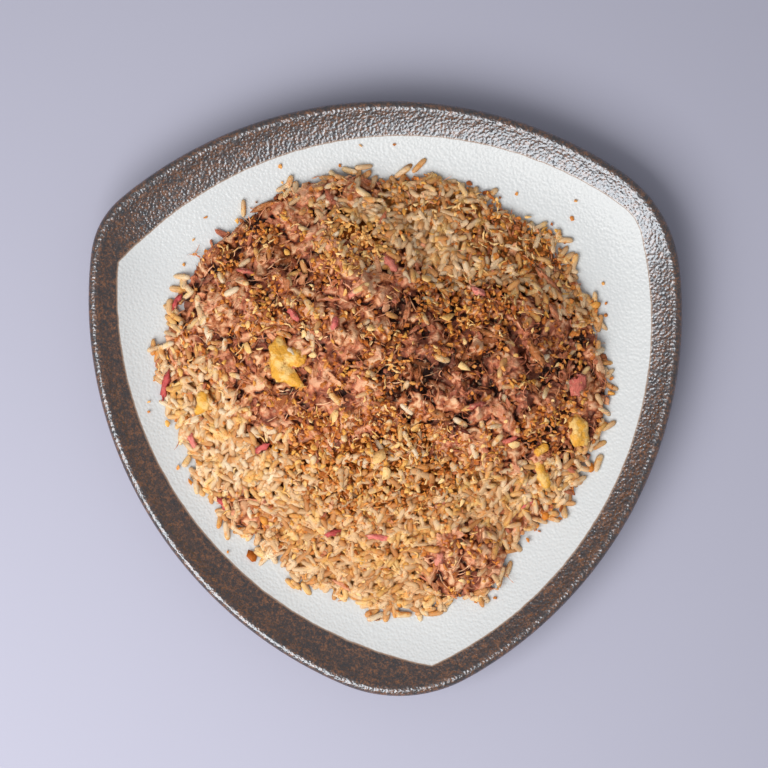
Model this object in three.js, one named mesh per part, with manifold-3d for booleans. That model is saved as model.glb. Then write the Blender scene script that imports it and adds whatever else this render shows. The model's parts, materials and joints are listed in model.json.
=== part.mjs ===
// Fried rice heaped on a three-cornered stoneware plate, in millimetres, +Z up.
// The origin is under the middle of the plate, on the surface that the foot stands on, and +Y is
// the far side of the plate. The plate is one solid. The rice is one heap that rests in its well,
// the shredded meat is a craggy layer on the rice, a second clump of meat lies on its near slope,
// and four curds of egg lie on both.
import * as THREE from "three";
import { mergeVertices } from "three/addons/utils/BufferGeometryUtils.js";
import Module from "manifold-3d";

const wasm = await Module();
wasm.setup();

// Plate outline: three rounded corners, joined by long shallow arcs that touch them.
const PLATE_CORNERS = [
  { x: 80, y: 57, radius: 65 },
  { x: -104, y: 67, radius: 40 },
  { x: 7, y: -77, radius: 69 },
];
const SIDE_RADIUS = 205;
const OUTLINE_STEPS = 76;

// Plate section, from the middle of the underside, round the lip, to the middle of the well.
// share is how far out a point lies, from 0 at the middle to 1 at the outline.
const FOOT_SHARE = 0.56;
const FOOT_WIDTH_SHARE = 0.045;
const FOOT_DRAFT_SHARE = 0.012;
const FOOT_HEIGHT = 3.6;
const RECESS_DEPTH = 1.6;
const LIP_HEIGHT = 27;
const LIP_RADIUS = 3.1;
const LIP_STEPS = 4;
const LIP_FROM_DEGREES = -55;
const LIP_TURN_DEGREES = 180;
const UNDERSIDE = [
  { share: 0.66, z: 5.2 },
  { share: 0.8, z: 9.4 },
  { share: 0.91, z: 15.4 },
];
const WELL = [
  { share: 0.93, z: 22.8 },
  { share: 0.86, z: 18.2 },
  { share: 0.78, z: 14.6 },
  { share: 0.66, z: 11.7 },
  { share: 0.52, z: 10.1 },
  { share: 0.36, z: 9.5 },
];
const FLOOR_Z = 9.4;

// Reach of the rice heap from its middle, every 15 degrees from +X towards +Y.
const HEAP_MIDDLE = { x: 0, y: 4 };
const HEAP_REACH = [
  109, 108, 109, 112, 106, 108, 105, 108, 110, 109, 113, 112,
  107, 101, 100, 99, 100, 103, 107, 110, 101, 98, 104, 107,
];
const HEAP_HEIGHT = 30;
const HEAP_EDGE = 2.2;
const HEAP_ROUNDNESS = 2.1;
const HEAP_RAGGED = 3.4;
const HEAP_BED_Z = 7;

// Reach of the shredded meat from its own middle, in the same way.
const MEAT_MIDDLE = { x: -6, y: 28 };
const MEAT_REACH = [
  111, 96, 54, 40, 44, 56, 75, 80, 83, 86, 90, 94, 92, 78, 73, 90, 92, 91, 83, 80, 80, 80, 96, 106,
];
const MEAT_THICKNESS = 7;
const MEAT_EDGE = 2;
const MEAT_RAGGED = 6;
const MEAT_BED_Z = 8;
// The clump that lies apart on the near slope.
const CLUMP_MIDDLE = { x: 38, y: -78 };
const CLUMP_REACH = [20, 17, 16, 19, 22, 20];
const CLUMP_THICKNESS = 6;
const CLUMP_RAGGED = 3;
// Mounds and hollows of the meat, each drawn out along a bearing, in degrees.
const MEAT_SWELLS = [
  { x: 46, y: 4, long: 44, wide: 24, turn: -18, rise: 9 },
  { x: -2, y: 22, long: 34, wide: 20, turn: -10, rise: 4 },
  { x: 74, y: 12, long: 18, wide: 12, turn: 80, rise: 3 },
  { x: -66, y: 46, long: 26, wide: 16, turn: 35, rise: 3 },
  { x: 31, y: 8, long: 6, wide: 5, turn: 0, rise: -8 },
  { x: 19, y: -17, long: 15, wide: 5, turn: -32, rise: -7 },
  { x: 72, y: 15, long: 9, wide: 4, turn: -60, rise: -6 },
  { x: 38, y: 26, long: 26, wide: 4, turn: -18, rise: -5 },
  { x: -66, y: 6, long: 8, wide: 5, turn: 20, rise: -5 },
];

// Curds of egg, each a chain of soft lobes: x and y from the curd's middle, and the lobe's radius.
const EGG_FLATNESS = 0.62;
const EGG_SIDES = 7;
const EGG_CURDS = [
  {
    name: "egg_curd_large",
    x: -47,
    y: 18,
    lobes: [
      { x: -4, y: 8, radius: 5 },
      { x: -5, y: 1, radius: 5 },
      { x: 3.5, y: 1.5, radius: 4.6 },
      { x: -3, y: -6, radius: 4.8 },
      { x: 4, y: -8, radius: 4.2 },
    ],
  },
  {
    name: "egg_curd_right",
    x: 94,
    y: -15,
    lobes: [
      { x: 0, y: 4, radius: 5 },
      { x: 1.5, y: -3, radius: 4.6 },
    ],
  },
  {
    name: "egg_curd_near",
    x: 77,
    y: -37,
    lobes: [
      { x: -2.6, y: 3.6, radius: 3.6 },
      { x: 2.2, y: -3, radius: 3.6 },
    ],
  },
  {
    name: "egg_curd_left",
    x: -90,
    y: -1,
    lobes: [
      { x: 0, y: 1.5, radius: 4.2 },
      { x: 2.5, y: -2.2, radius: 3.4 },
    ],
  },
];

// Pieces that show, each kind with the lattice that spreads it.
const GRAIN = { length: 7, width: 2.4, pitch: 17.5 };
const SHRED = { length: 17, width: 6, thickness: 2.4, pitch: 31 };
const CHUNK = { length: 15, width: 9, height: 7, pitch: 27 };
const CRUMB = { length: 6, width: 4, height: 2.6, pitch: 30 };
const FLAKE = { x: 0, y: -32, length: 17, width: 6.5, height: 2.4, turn: 75 };

// Relief between them, and how closely it is drawn.
const GRAIN_RELIEF = 1.25;
const CRAG_RELIEF = 8;
const RICE_PITCH = 3.8;
const RICE_HIDDEN_STEP = 4;
const MEAT_PITCH = 5.2;
const CLUMP_PITCH = 4.8;
const JITTER = 0.6;
const EDGE_GAP = 0.7;

const CLEARANCE = 0.3;
const SEED = 20;

// Random numbers from 0 to 1, the same each run.
function randomFrom(seed) {
  let state = seed;
  return () => {
    state = (state + 0x6d2b79f5) | 0;
    let mixed = Math.imul(state ^ (state >>> 15), 1 | state);
    mixed = (mixed + Math.imul(mixed ^ (mixed >>> 7), 61 | mixed)) ^ mixed;
    return ((mixed ^ (mixed >>> 14)) >>> 0) / 4294967296;
  };
}

// Smooth noise from -1 to 1 over the plan, with lumps of about the given size.
function lumps(x, y, size, salt) {
  const column = Math.floor(x / size);
  const row = Math.floor(y / size);
  const corner = (i, j) => {
    const turned = Math.sin((column + i) * 127.1 + (row + j) * 311.7 + salt * 74.7) * 43758.5453;
    return (turned - Math.floor(turned)) * 2 - 1;
  };
  const ease = (t) => t * t * (3 - 2 * t);
  const u = ease(x / size - column);
  const v = ease(y / size - row);
  const near = corner(0, 0) * (1 - u) + corner(1, 0) * u;
  const far = corner(0, 1) * (1 - u) + corner(1, 1) * u;
  return near * (1 - v) + far * v;
}

// Centre of the long arc that touches two neighbouring corners.
function sideCentre(a, b) {
  const reachA = SIDE_RADIUS - a.radius;
  const reachB = SIDE_RADIUS - b.radius;
  const gap = Math.hypot(b.x - a.x, b.y - a.y);
  const along = (gap * gap + reachA * reachA - reachB * reachB) / (2 * gap);
  const across = Math.sqrt(reachA * reachA - along * along);
  const ux = (b.x - a.x) / gap;
  const uy = (b.y - a.y) / gap;
  return { x: a.x + ux * along - uy * across, y: a.y + uy * along + ux * across };
}

// The plate's outline, evenly spaced and centred on the origin.
function plateOutline() {
  const bearing = (from, to) => Math.atan2(to.y - from.y, to.x - from.x);
  const path = new THREE.Path();
  PLATE_CORNERS.forEach((corner, i) => {
    const before = PLATE_CORNERS[(i + 2) % 3];
    const after = PLATE_CORNERS[(i + 1) % 3];
    const sideIn = sideCentre(before, corner);
    const sideOut = sideCentre(corner, after);
    path.absarc(corner.x, corner.y, corner.radius, bearing(sideIn, corner), bearing(sideOut, corner));
    path.absarc(sideOut.x, sideOut.y, SIDE_RADIUS, bearing(sideOut, corner), bearing(sideOut, after));
  });
  const points = path.getSpacedPoints(OUTLINE_STEPS).slice(0, OUTLINE_STEPS);
  const middle = new THREE.Box2().setFromPoints(points).getCenter(new THREE.Vector2());
  return points.map((point) => point.sub(middle));
}

const OUTLINE = plateOutline();
const OUTLINE_SUM = OUTLINE.reduce((sum, p) => sum.add(p), new THREE.Vector2());
const PLATE_MIDDLE = OUTLINE_SUM.divideScalar(OUTLINE_STEPS);

// How far out a point of the plan lies, as a share of the outline's reach that way.
function shareAt(x, y) {
  const dx = x - PLATE_MIDDLE.x;
  const dy = y - PLATE_MIDDLE.y;
  for (let i = 0; i < OUTLINE_STEPS; i++) {
    const a = OUTLINE[i].clone().sub(PLATE_MIDDLE);
    const b = OUTLINE[(i + 1) % OUTLINE_STEPS].clone().sub(PLATE_MIDDLE);
    const turn = a.cross(b);
    const towardsA = (dx * b.y - dy * b.x) / turn;
    const towardsB = (a.x * dy - a.y * dx) / turn;
    if (towardsA >= 0 && towardsB >= 0) return towardsA + towardsB;
  }
  return 0;
}

// Height of the well's surface at a point of the plan.
function wellTop(x, y) {
  const share = shareAt(x, y);
  const section = [...WELL, { share: 0, z: FLOOR_Z }];
  const k = Math.max(1, section.findIndex((station) => station.share <= share));
  const [outer, inner] = [section[k - 1], section[k]];
  const t = (share - inner.share) / (outer.share - inner.share);
  return inner.z + (outer.z - inner.z) * t;
}

// One closed solid from a stack of rings, whose first and last are single points.
function geometryOfRings(rings) {
  const positions = [];
  const starts = rings.map((ring) => {
    const start = positions.length / 3;
    ring.forEach((p) => positions.push(p.x, p.y, p.z));
    return start;
  });
  const steps = Math.max(...rings.map((ring) => ring.length));
  const index = [];
  for (let k = 0; k + 1 < rings.length; k++) {
    const lower = (i) => starts[k] + (rings[k].length > 1 ? i % steps : 0);
    const upper = (i) => starts[k + 1] + (rings[k + 1].length > 1 ? i % steps : 0);
    for (let i = 0; i < steps; i++) {
      if (rings[k].length > 1) index.push(lower(i), lower(i + 1), upper(i + 1));
      if (rings[k + 1].length > 1) index.push(lower(i), upper(i + 1), upper(i));
    }
  }
  const geometry = new THREE.BufferGeometry();
  geometry.setAttribute("position", new THREE.Float32BufferAttribute(positions, 3));
  return geometry.setIndex(index);
}

// The plate: a foot ring, a flared underside, a rounded lip and a dished well.
function plateGeometry() {
  const ring = (share, z) => OUTLINE.map((p) => {
    const flat = p.clone().sub(PLATE_MIDDLE).multiplyScalar(share).add(PLATE_MIDDLE);
    return new THREE.Vector3(flat.x, flat.y, z);
  });
  const pole = (z) => [new THREE.Vector3(PLATE_MIDDLE.x, PLATE_MIDDLE.y, z)];
  const meanReach = OUTLINE.reduce((sum, p) => sum + p.distanceTo(PLATE_MIDDLE), 0) / OUTLINE_STEPS;
  const lipShare = LIP_RADIUS / meanReach;
  const lip = [];
  for (let k = 0; k <= LIP_STEPS; k++) {
    const turn = THREE.MathUtils.degToRad(LIP_FROM_DEGREES + (LIP_TURN_DEGREES * k) / LIP_STEPS);
    const share = 1 + lipShare * (Math.cos(turn) - 1);
    lip.push(ring(share, LIP_HEIGHT + LIP_RADIUS * (Math.sin(turn) - 1)));
  }
  return geometryOfRings([
    pole(RECESS_DEPTH),
    ring(FOOT_SHARE - FOOT_WIDTH_SHARE - FOOT_DRAFT_SHARE, RECESS_DEPTH),
    ring(FOOT_SHARE - FOOT_WIDTH_SHARE, 0),
    ring(FOOT_SHARE, 0),
    ring(FOOT_SHARE + FOOT_DRAFT_SHARE, FOOT_HEIGHT),
    ...UNDERSIDE.map(({ share, z }) => ring(share, z)),
    ...lip,
    ...WELL.map(({ share, z }) => ring(share, z)),
    pole(FLOOR_Z),
  ]);
}

// A solid from a geometry of shared vertices, and a geometry from a solid.
function solidOf(geometry) {
  const bare = new THREE.BufferGeometry();
  bare.setAttribute("position", geometry.getAttribute("position"));
  if (geometry.index) bare.setIndex(geometry.index);
  const merged = mergeVertices(bare, 1e-4);
  return new wasm.Manifold(new wasm.Mesh({
    numProp: 3,
    vertProperties: new Float32Array(merged.getAttribute("position").array),
    triVerts: new Uint32Array(merged.index.array),
  }));
}

function geometryOf(solid) {
  const { numProp, vertProperties, triVerts } = solid.getMesh();
  const positions = [];
  for (let i = 0; i < vertProperties.length; i += numProp) {
    positions.push(vertProperties[i], vertProperties[i + 1], vertProperties[i + 2]);
  }
  const geometry = new THREE.BufferGeometry();
  geometry.setAttribute("position", new THREE.Float32BufferAttribute(positions, 3));
  geometry.setIndex([...triVerts]);
  geometry.computeVertexNormals();
  return geometry;
}

// The main body of a solid: scraps that a cut leaves, and hollows that fusing seals, are dropped.
function mainBody(solid) {
  return solid.decompose().reduce((most, body) => (body.volume() > most.volume() ? body : most));
}

// Ways in which a support is moved to clear a gap above and beside it, as shares of the gap.
const GAP_WAYS = [[0, 0, 0], [0, 0, 1], [0.5, 0, 0.5], [-0.5, 0, 0.5], [0, 0.5, 0.5], [0, -0.5, 0.5]];

// The main body of a solid once what lies under it is cut away, with the given gap.
function clearOf(solid, supports, gap) {
  const cut = supports.reduce((left, under) => GAP_WAYS.reduce((part, way) => (
    part.subtract(under.translate(way.map((share) => share * gap)))
  ), left), solid);
  return mainBody(cut);
}

// A solid laid on others. Slivers that the cuts leave are merged, and what the merging moved into
// a support is cut once more, with a smaller gap.
function fittedOn(solid, ...supports) {
  const merged = clearOf(solid, supports, CLEARANCE).simplify(CLEARANCE / 2);
  return clearOf(merged, supports, CLEARANCE / 3);
}

// Reach of a lobed outline at an angle, through its named reaches.
function reachOf(reaches, angle) {
  const count = reaches.length;
  const place = ((angle / (2 * Math.PI)) * count + count) % count;
  const k = Math.floor(place);
  const t = place - k;
  const [a, b, c, d] = [-1, 0, 1, 2].map((step) => reaches[(k + step + count) % count]);
  return b + 0.5 * t * (c - a + t * (2 * a - 5 * b + 4 * c - d + t * (3 * (b - c) + d - a)));
}

// A patch of the plan with a lobed, ragged edge.
class Patch {
  constructor(middle, reaches, ragged) {
    this.middle = middle;
    this.reaches = reaches;
    this.ragged = ragged;
    this.meanReach = reaches.reduce((sum, reach) => sum + reach, 0) / reaches.length;
  }

  // Reach of the edge at an angle, with its raggedness.
  reachAt(angle) {
    const reach = reachOf(this.reaches, angle);
    const x = this.middle.x + reach * Math.cos(angle);
    const y = this.middle.y + reach * Math.sin(angle);
    return reach + this.ragged * (0.55 * lumps(x, y, 15, 7) + 0.45 * lumps(x, y, 5.5, 8));
  }

  // How far out a point lies, from 0 at the middle to 1 at the edge.
  shareOf(x, y) {
    const dx = x - this.middle.x;
    const dy = y - this.middle.y;
    return Math.hypot(dx, dy) / this.reachAt(Math.atan2(dy, dx));
  }

  // How far a point lies inside the edge, measured from the middle outwards.
  depthOf(x, y) {
    const dx = x - this.middle.x;
    const dy = y - this.middle.y;
    return this.reachAt(Math.atan2(dy, dx)) - Math.hypot(dx, dy);
  }

  edge(pitch) {
    const count = Math.round((2 * Math.PI * this.meanReach) / pitch);
    return Array.from({ length: count }, (_, i) => {
      const angle = (2 * Math.PI * i) / count;
      const arm = new THREE.Vector2(this.reachAt(angle), 0).rotateAround(new THREE.Vector2(), angle);
      return arm.add(this.middle);
    });
  }

  // Points of a jittered triangular lattice inside the edge, where keep allows them.
  fill(pitch, random, keep) {
    const rowPitch = pitch * Math.sin(Math.PI / 3);
    const most = Math.max(...this.reaches) + this.ragged;
    const rows = Math.ceil(most / rowPitch);
    const columns = Math.ceil(most / pitch) + 1;
    const points = [];
    for (let row = -rows; row <= rows; row++) {
      for (let column = -columns; column <= columns; column++) {
        const x = this.middle.x + (column + (row % 2) / 2 + (random() - 0.5) * JITTER) * pitch;
        const y = this.middle.y + row * rowPitch + (random() - 0.5) * JITTER * pitch;
        const inside = this.depthOf(x, y) > pitch * EDGE_GAP;
        if (inside && keep(x, y, column, row)) points.push(new THREE.Vector2(x, y));
      }
    }
    return points;
  }
}

// Triangles over scattered points of the plan, each anticlockwise, by adding one point at a time.
function triangulate(points) {
  const far = 50 * SIDE_RADIUS;
  const frame = [[-far, -far], [far, -far], [0, far]].map(([x, y]) => new THREE.Vector2(x, y));
  const all = [...points, ...frame];
  const faceOf = (a, b, c) => {
    const [p, q, r] = [all[a], all[b], all[c]];
    const doubled = 2 * (p.x * (q.y - r.y) + q.x * (r.y - p.y) + r.x * (p.y - q.y));
    const [pp, qq, rr] = [p.lengthSq(), q.lengthSq(), r.lengthSq()];
    const x = (pp * (q.y - r.y) + qq * (r.y - p.y) + rr * (p.y - q.y)) / doubled;
    const y = (pp * (r.x - q.x) + qq * (p.x - r.x) + rr * (q.x - p.x)) / doubled;
    return { corners: [a, b, c], x, y, reach: (p.x - x) ** 2 + (p.y - y) ** 2 };
  };
  let faces = [faceOf(points.length, points.length + 1, points.length + 2)];
  points.forEach((point, i) => {
    const open = new Map();
    faces = faces.filter((face) => {
      if ((point.x - face.x) ** 2 + (point.y - face.y) ** 2 >= face.reach) return true;
      face.corners.forEach((a, k) => {
        const b = face.corners[(k + 1) % 3];
        if (!open.delete(`${b},${a}`)) open.set(`${a},${b}`, [a, b]);
      });
      return false;
    });
    for (const [a, b] of open.values()) faces.push(faceOf(a, b, i));
  });
  return faces.map((face) => face.corners).filter((corners) => corners.every((c) => c < points.length));
}

// True where a point lies inside a closed edge.
function isInside(edge, point) {
  let crossings = 0;
  edge.forEach((p, i) => {
    const q = edge[(i + 1) % edge.length];
    if (p.y > point.y !== q.y > point.y) {
      const x = p.x + ((point.y - p.y) / (q.y - p.y)) * (q.x - p.x);
      if (x > point.x) crossings++;
    }
  });
  return crossings % 2 === 1;
}

// A closed block with a relief top and a flat bed, which is cut to what lies under it afterwards.
function blockSolid(edge, inside, topOf, bedZ) {
  const points = [...edge, ...inside];
  const middleOf = (corners) => (
    corners.reduce((sum, corner) => sum.add(points[corner]), new THREE.Vector2()).divideScalar(3)
  );
  const faces = triangulate(points).filter((corners) => isInside(edge, middleOf(corners)));
  const positions = [];
  points.forEach((p) => positions.push(p.x, p.y, topOf(p.x, p.y)));
  points.forEach((p) => positions.push(p.x, p.y, bedZ));
  const bed = points.length;
  const index = [];
  const rim = new Map();
  faces.forEach(([a, b, c]) => {
    index.push(a, b, c, bed + a, bed + c, bed + b);
    [[a, b], [b, c], [c, a]].forEach(([from, to]) => {
      if (!rim.delete(`${to},${from}`)) rim.set(`${from},${to}`, [from, to]);
    });
  });
  for (const [from, to] of rim.values()) {
    index.push(from, bed + from, bed + to, from, bed + to, to);
  }
  const geometry = new THREE.BufferGeometry();
  geometry.setAttribute("position", new THREE.Float32BufferAttribute(positions, 3));
  return solidOf(geometry.setIndex(index));
}

const heap = new Patch(HEAP_MIDDLE, HEAP_REACH, HEAP_RAGGED);
const meat = new Patch(MEAT_MIDDLE, MEAT_REACH, MEAT_RAGGED);
const clump = new Patch(CLUMP_MIDDLE, CLUMP_REACH, CLUMP_RAGGED);

// The rice heap's own slope, before the relief of its grains.
function riceSlope(x, y) {
  const share = Math.min(1, heap.shareOf(x, y));
  return wellTop(x, y) + HEAP_EDGE + (HEAP_HEIGHT - HEAP_EDGE) * (1 - share ** HEAP_ROUNDNESS);
}

function riceTop(x, y) {
  const shows = meat.depthOf(x, y) < RICE_PITCH && clump.depthOf(x, y) < RICE_PITCH;
  const relief = shows ? GRAIN_RELIEF : 0;
  return riceSlope(x, y) + relief * (0.8 * lumps(x, y, 2.9, 1) + 0.6 * lumps(x, y, 8, 2));
}

// Height that the mounds and hollows of the meat add.
function swellOf(x, y) {
  return MEAT_SWELLS.reduce((sum, swell) => {
    const turn = THREE.MathUtils.degToRad(swell.turn);
    const along = (x - swell.x) * Math.cos(turn) + (y - swell.y) * Math.sin(turn);
    const across = -(x - swell.x) * Math.sin(turn) + (y - swell.y) * Math.cos(turn);
    return sum + swell.rise * Math.exp(-((along / swell.long) ** 2) - (across / swell.wide) ** 2);
  }, 0);
}

// Crags: sharp ridges of two sizes on broad lumps.
function cragOf(x, y) {
  const ridge = (size, salt) => 0.6 - 1.4 * Math.abs(lumps(x, y, size, salt));
  return CRAG_RELIEF * (0.34 * ridge(6.5, 3) + 0.36 * ridge(13, 4) + 0.3 * lumps(x, y, 24, 5));
}

// The upper surface of a layer of meat that thins out to its edge.
function meatTop(patch, thickness) {
  return (x, y) => {
    const share = Math.min(1, patch.shareOf(x, y));
    const fade = 1 - share ** 4;
    const bulk = MEAT_EDGE + (thickness - MEAT_EDGE) * (1 - share ** 3) + swellOf(x, y) * fade;
    return riceSlope(x, y) + Math.max(MEAT_EDGE * 0.8, bulk + cragOf(x, y) * (0.3 + 0.7 * fade));
  };
}

const meatSurface = meatTop(meat, MEAT_THICKNESS);
const clumpSurface = meatTop(clump, CLUMP_THICKNESS);
const foodTop = (x, y) => (meat.depthOf(x, y) > 0 ? meatSurface(x, y) : riceTop(x, y));

// The bare blocks of the heap and of the meat on it.
function riceBlock(random) {
  const keep = (x, y, column, row) => (
    meat.depthOf(x, y) < RICE_PITCH || (column % RICE_HIDDEN_STEP === 0 && row % RICE_HIDDEN_STEP === 0)
  );
  return blockSolid(heap.edge(RICE_PITCH), heap.fill(RICE_PITCH, random, keep), riceTop, HEAP_BED_Z);
}

function meatBlock(patch, surface, pitch, random) {
  return blockSolid(patch.edge(pitch), patch.fill(pitch, random, () => true), surface, MEAT_BED_Z);
}

// One curd of egg: soft lobes fused, and fitted on what carries it.
function eggCurd({ x, y, lobes }, supports) {
  const lobed = lobes.reduce((made, lobe, k) => {
    const ball = new THREE.SphereGeometry(lobe.radius, EGG_SIDES, EGG_SIDES - 2);
    ball.rotateX(Math.PI / 2);
    ball.rotateZ(k);
    ball.scale(1, 1, EGG_FLATNESS);
    const place = [x + lobe.x, y + lobe.y];
    ball.translate(...place, foodTop(...place) + lobe.radius * EGG_FLATNESS * 0.45);
    const solid = solidOf(ball);
    return made ? made.add(solid) : solid;
  }, null);
  return fittedOn(lobed, ...supports);
}

// True where a piece of the given reach would touch a curd of egg.
function nearEgg(x, y, reach) {
  return EGG_CURDS.some((curd) => curd.lobes.some((lobe) => (
    Math.hypot(x - curd.x - lobe.x, y - curd.y - lobe.y) < lobe.radius + reach
  )));
}

// A lump of the given length, width and height, laid half sunk on a surface.
function lumpSolid(shape, { length, width, height = width }, x, y, turn, surfaceOf, random) {
  const size = 0.8 + 0.4 * random();
  shape.scale((length / 2) * size, (width / 2) * size, (height / 2) * size);
  shape.rotateY((random() - 0.5) * 0.6);
  shape.rotateZ(turn);
  shape.translate(x, y, surfaceOf(x, y) + height * size * 0.2);
  return solidOf(shape);
}

function grainSolid(x, y, random) {
  const shape = new THREE.SphereGeometry(1, 5, 4).rotateZ(Math.PI / 2);
  return lumpSolid(shape, GRAIN, x, y, random() * Math.PI, riceTop, random);
}

function chunkSolid(x, y, random) {
  return lumpSolid(new THREE.IcosahedronGeometry(1), CHUNK, x, y, random() * Math.PI, meatSurface, random);
}

function crumbSolid(x, y, random) {
  return lumpSolid(new THREE.OctahedronGeometry(1), CRUMB, x, y, random() * Math.PI, meatSurface, random);
}

// One shred of meat: a flat strip that bends and arches over the surface from end to end.
function shredSolid(x, y, random) {
  const turn = random() * Math.PI;
  const length = SHRED.length * (0.7 + 0.6 * random());
  const bend = (random() - 0.5) * length * 0.4;
  const stations = [-0.5, 0, 0.5].map((t) => {
    const along = t * length;
    const across = bend * (1 - 4 * t * t);
    const px = x + along * Math.cos(turn) - across * Math.sin(turn);
    const py = y + along * Math.sin(turn) + across * Math.cos(turn);
    return new THREE.Vector3(px, py, meatSurface(px, py) + SHRED.thickness * 0.35);
  });
  const halfWidth = (SHRED.width / 2) * (0.7 + 0.5 * random());
  const section = new THREE.Shape([
    new THREE.Vector2(-SHRED.thickness / 2, 0),
    new THREE.Vector2(0, -halfWidth),
    new THREE.Vector2(SHRED.thickness / 2, 0),
    new THREE.Vector2(0, halfWidth),
  ]);
  const path = new THREE.CatmullRomCurve3(stations);
  return solidOf(new THREE.ExtrudeGeometry(section, { steps: 2, extrudePath: path, bevelEnabled: false }));
}

// Pieces of one kind, spread by a lattice over a patch, fused to their block.
function studded(block, patch, pitch, random, allowed, pieceAt) {
  const places = patch.fill(pitch, random, allowed);
  return places.reduce((made, { x, y }) => made.add(pieceAt(x, y, random)), block);
}

const plate = solidOf(plateGeometry());
const random = randomFrom(SEED);

// Grains keep clear of the meat and the egg, and what lies on the meat, of the egg and the edge.
const clearOfMeat = (x, y) => (
  [meat, clump].every((patch) => patch.depthOf(x, y) < -GRAIN.length) && !nearEgg(x, y, GRAIN.length)
);
const insideMeat = (length) => (x, y) => !nearEgg(x, y, length * 0.8) && meat.depthOf(x, y) > length;

const withGrains = studded(riceBlock(random), heap, GRAIN.pitch, random, clearOfMeat, grainSolid);
const rice = fittedOn(withGrains, plate);
const bareMeat = meatBlock(meat, meatSurface, MEAT_PITCH, random);
const withChunks = studded(bareMeat, meat, CHUNK.pitch, random, insideMeat(CHUNK.length), chunkSolid);
const withShreds = studded(withChunks, meat, SHRED.pitch, random, insideMeat(SHRED.length), shredSolid);
const withCrumbs = studded(withShreds, meat, CRUMB.pitch, random, insideMeat(CRUMB.length), crumbSolid);
const flakeTurn = THREE.MathUtils.degToRad(FLAKE.turn);
const flakeShape = new THREE.OctahedronGeometry(1, 1);
const flake = lumpSolid(flakeShape, FLAKE, FLAKE.x, FLAKE.y, flakeTurn, meatSurface, random);
const shreddedMeat = fittedOn(withCrumbs.add(flake), rice, plate);
const meatClump = fittedOn(meatBlock(clump, clumpSurface, CLUMP_PITCH, random), rice, plate);
const curds = EGG_CURDS.map((curd) => eggCurd(curd, [shreddedMeat, rice, plate]));

// A named mesh of a solid in its own colour.
function meshOf(name, solid, colour, roughness) {
  const material = new THREE.MeshStandardMaterial({ color: colour, roughness, metalness: 0 });
  const mesh = new THREE.Mesh(geometryOf(solid), material);
  mesh.name = name;
  return mesh;
}

const friedRicePlate = new THREE.Group();
friedRicePlate.add(meshOf("plate", plate, 0xdfe3e4, 0.35));
friedRicePlate.add(meshOf("rice_heap", rice, 0xd6ab76, 0.5));
friedRicePlate.add(meshOf("shredded_meat", shreddedMeat, 0xb87a5c, 0.65));
friedRicePlate.add(meshOf("meat_clump_near", meatClump, 0xb87a5c, 0.65));
EGG_CURDS.forEach(({ name }, i) => friedRicePlate.add(meshOf(name, curds[i], 0xe9bb57, 0.45)));

export default friedRicePlate;
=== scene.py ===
"""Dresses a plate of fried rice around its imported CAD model.

A stoneware plate with three rounded corners carries a heap of fried rice. Torn meat lies over it
in a craggy layer, with crumbs and flakes of fried garlic, curds of egg and a few pink shreds.
"""

import json
import logging
import math
from collections.abc import Callable
from dataclasses import dataclass
from enum import Enum

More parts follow.
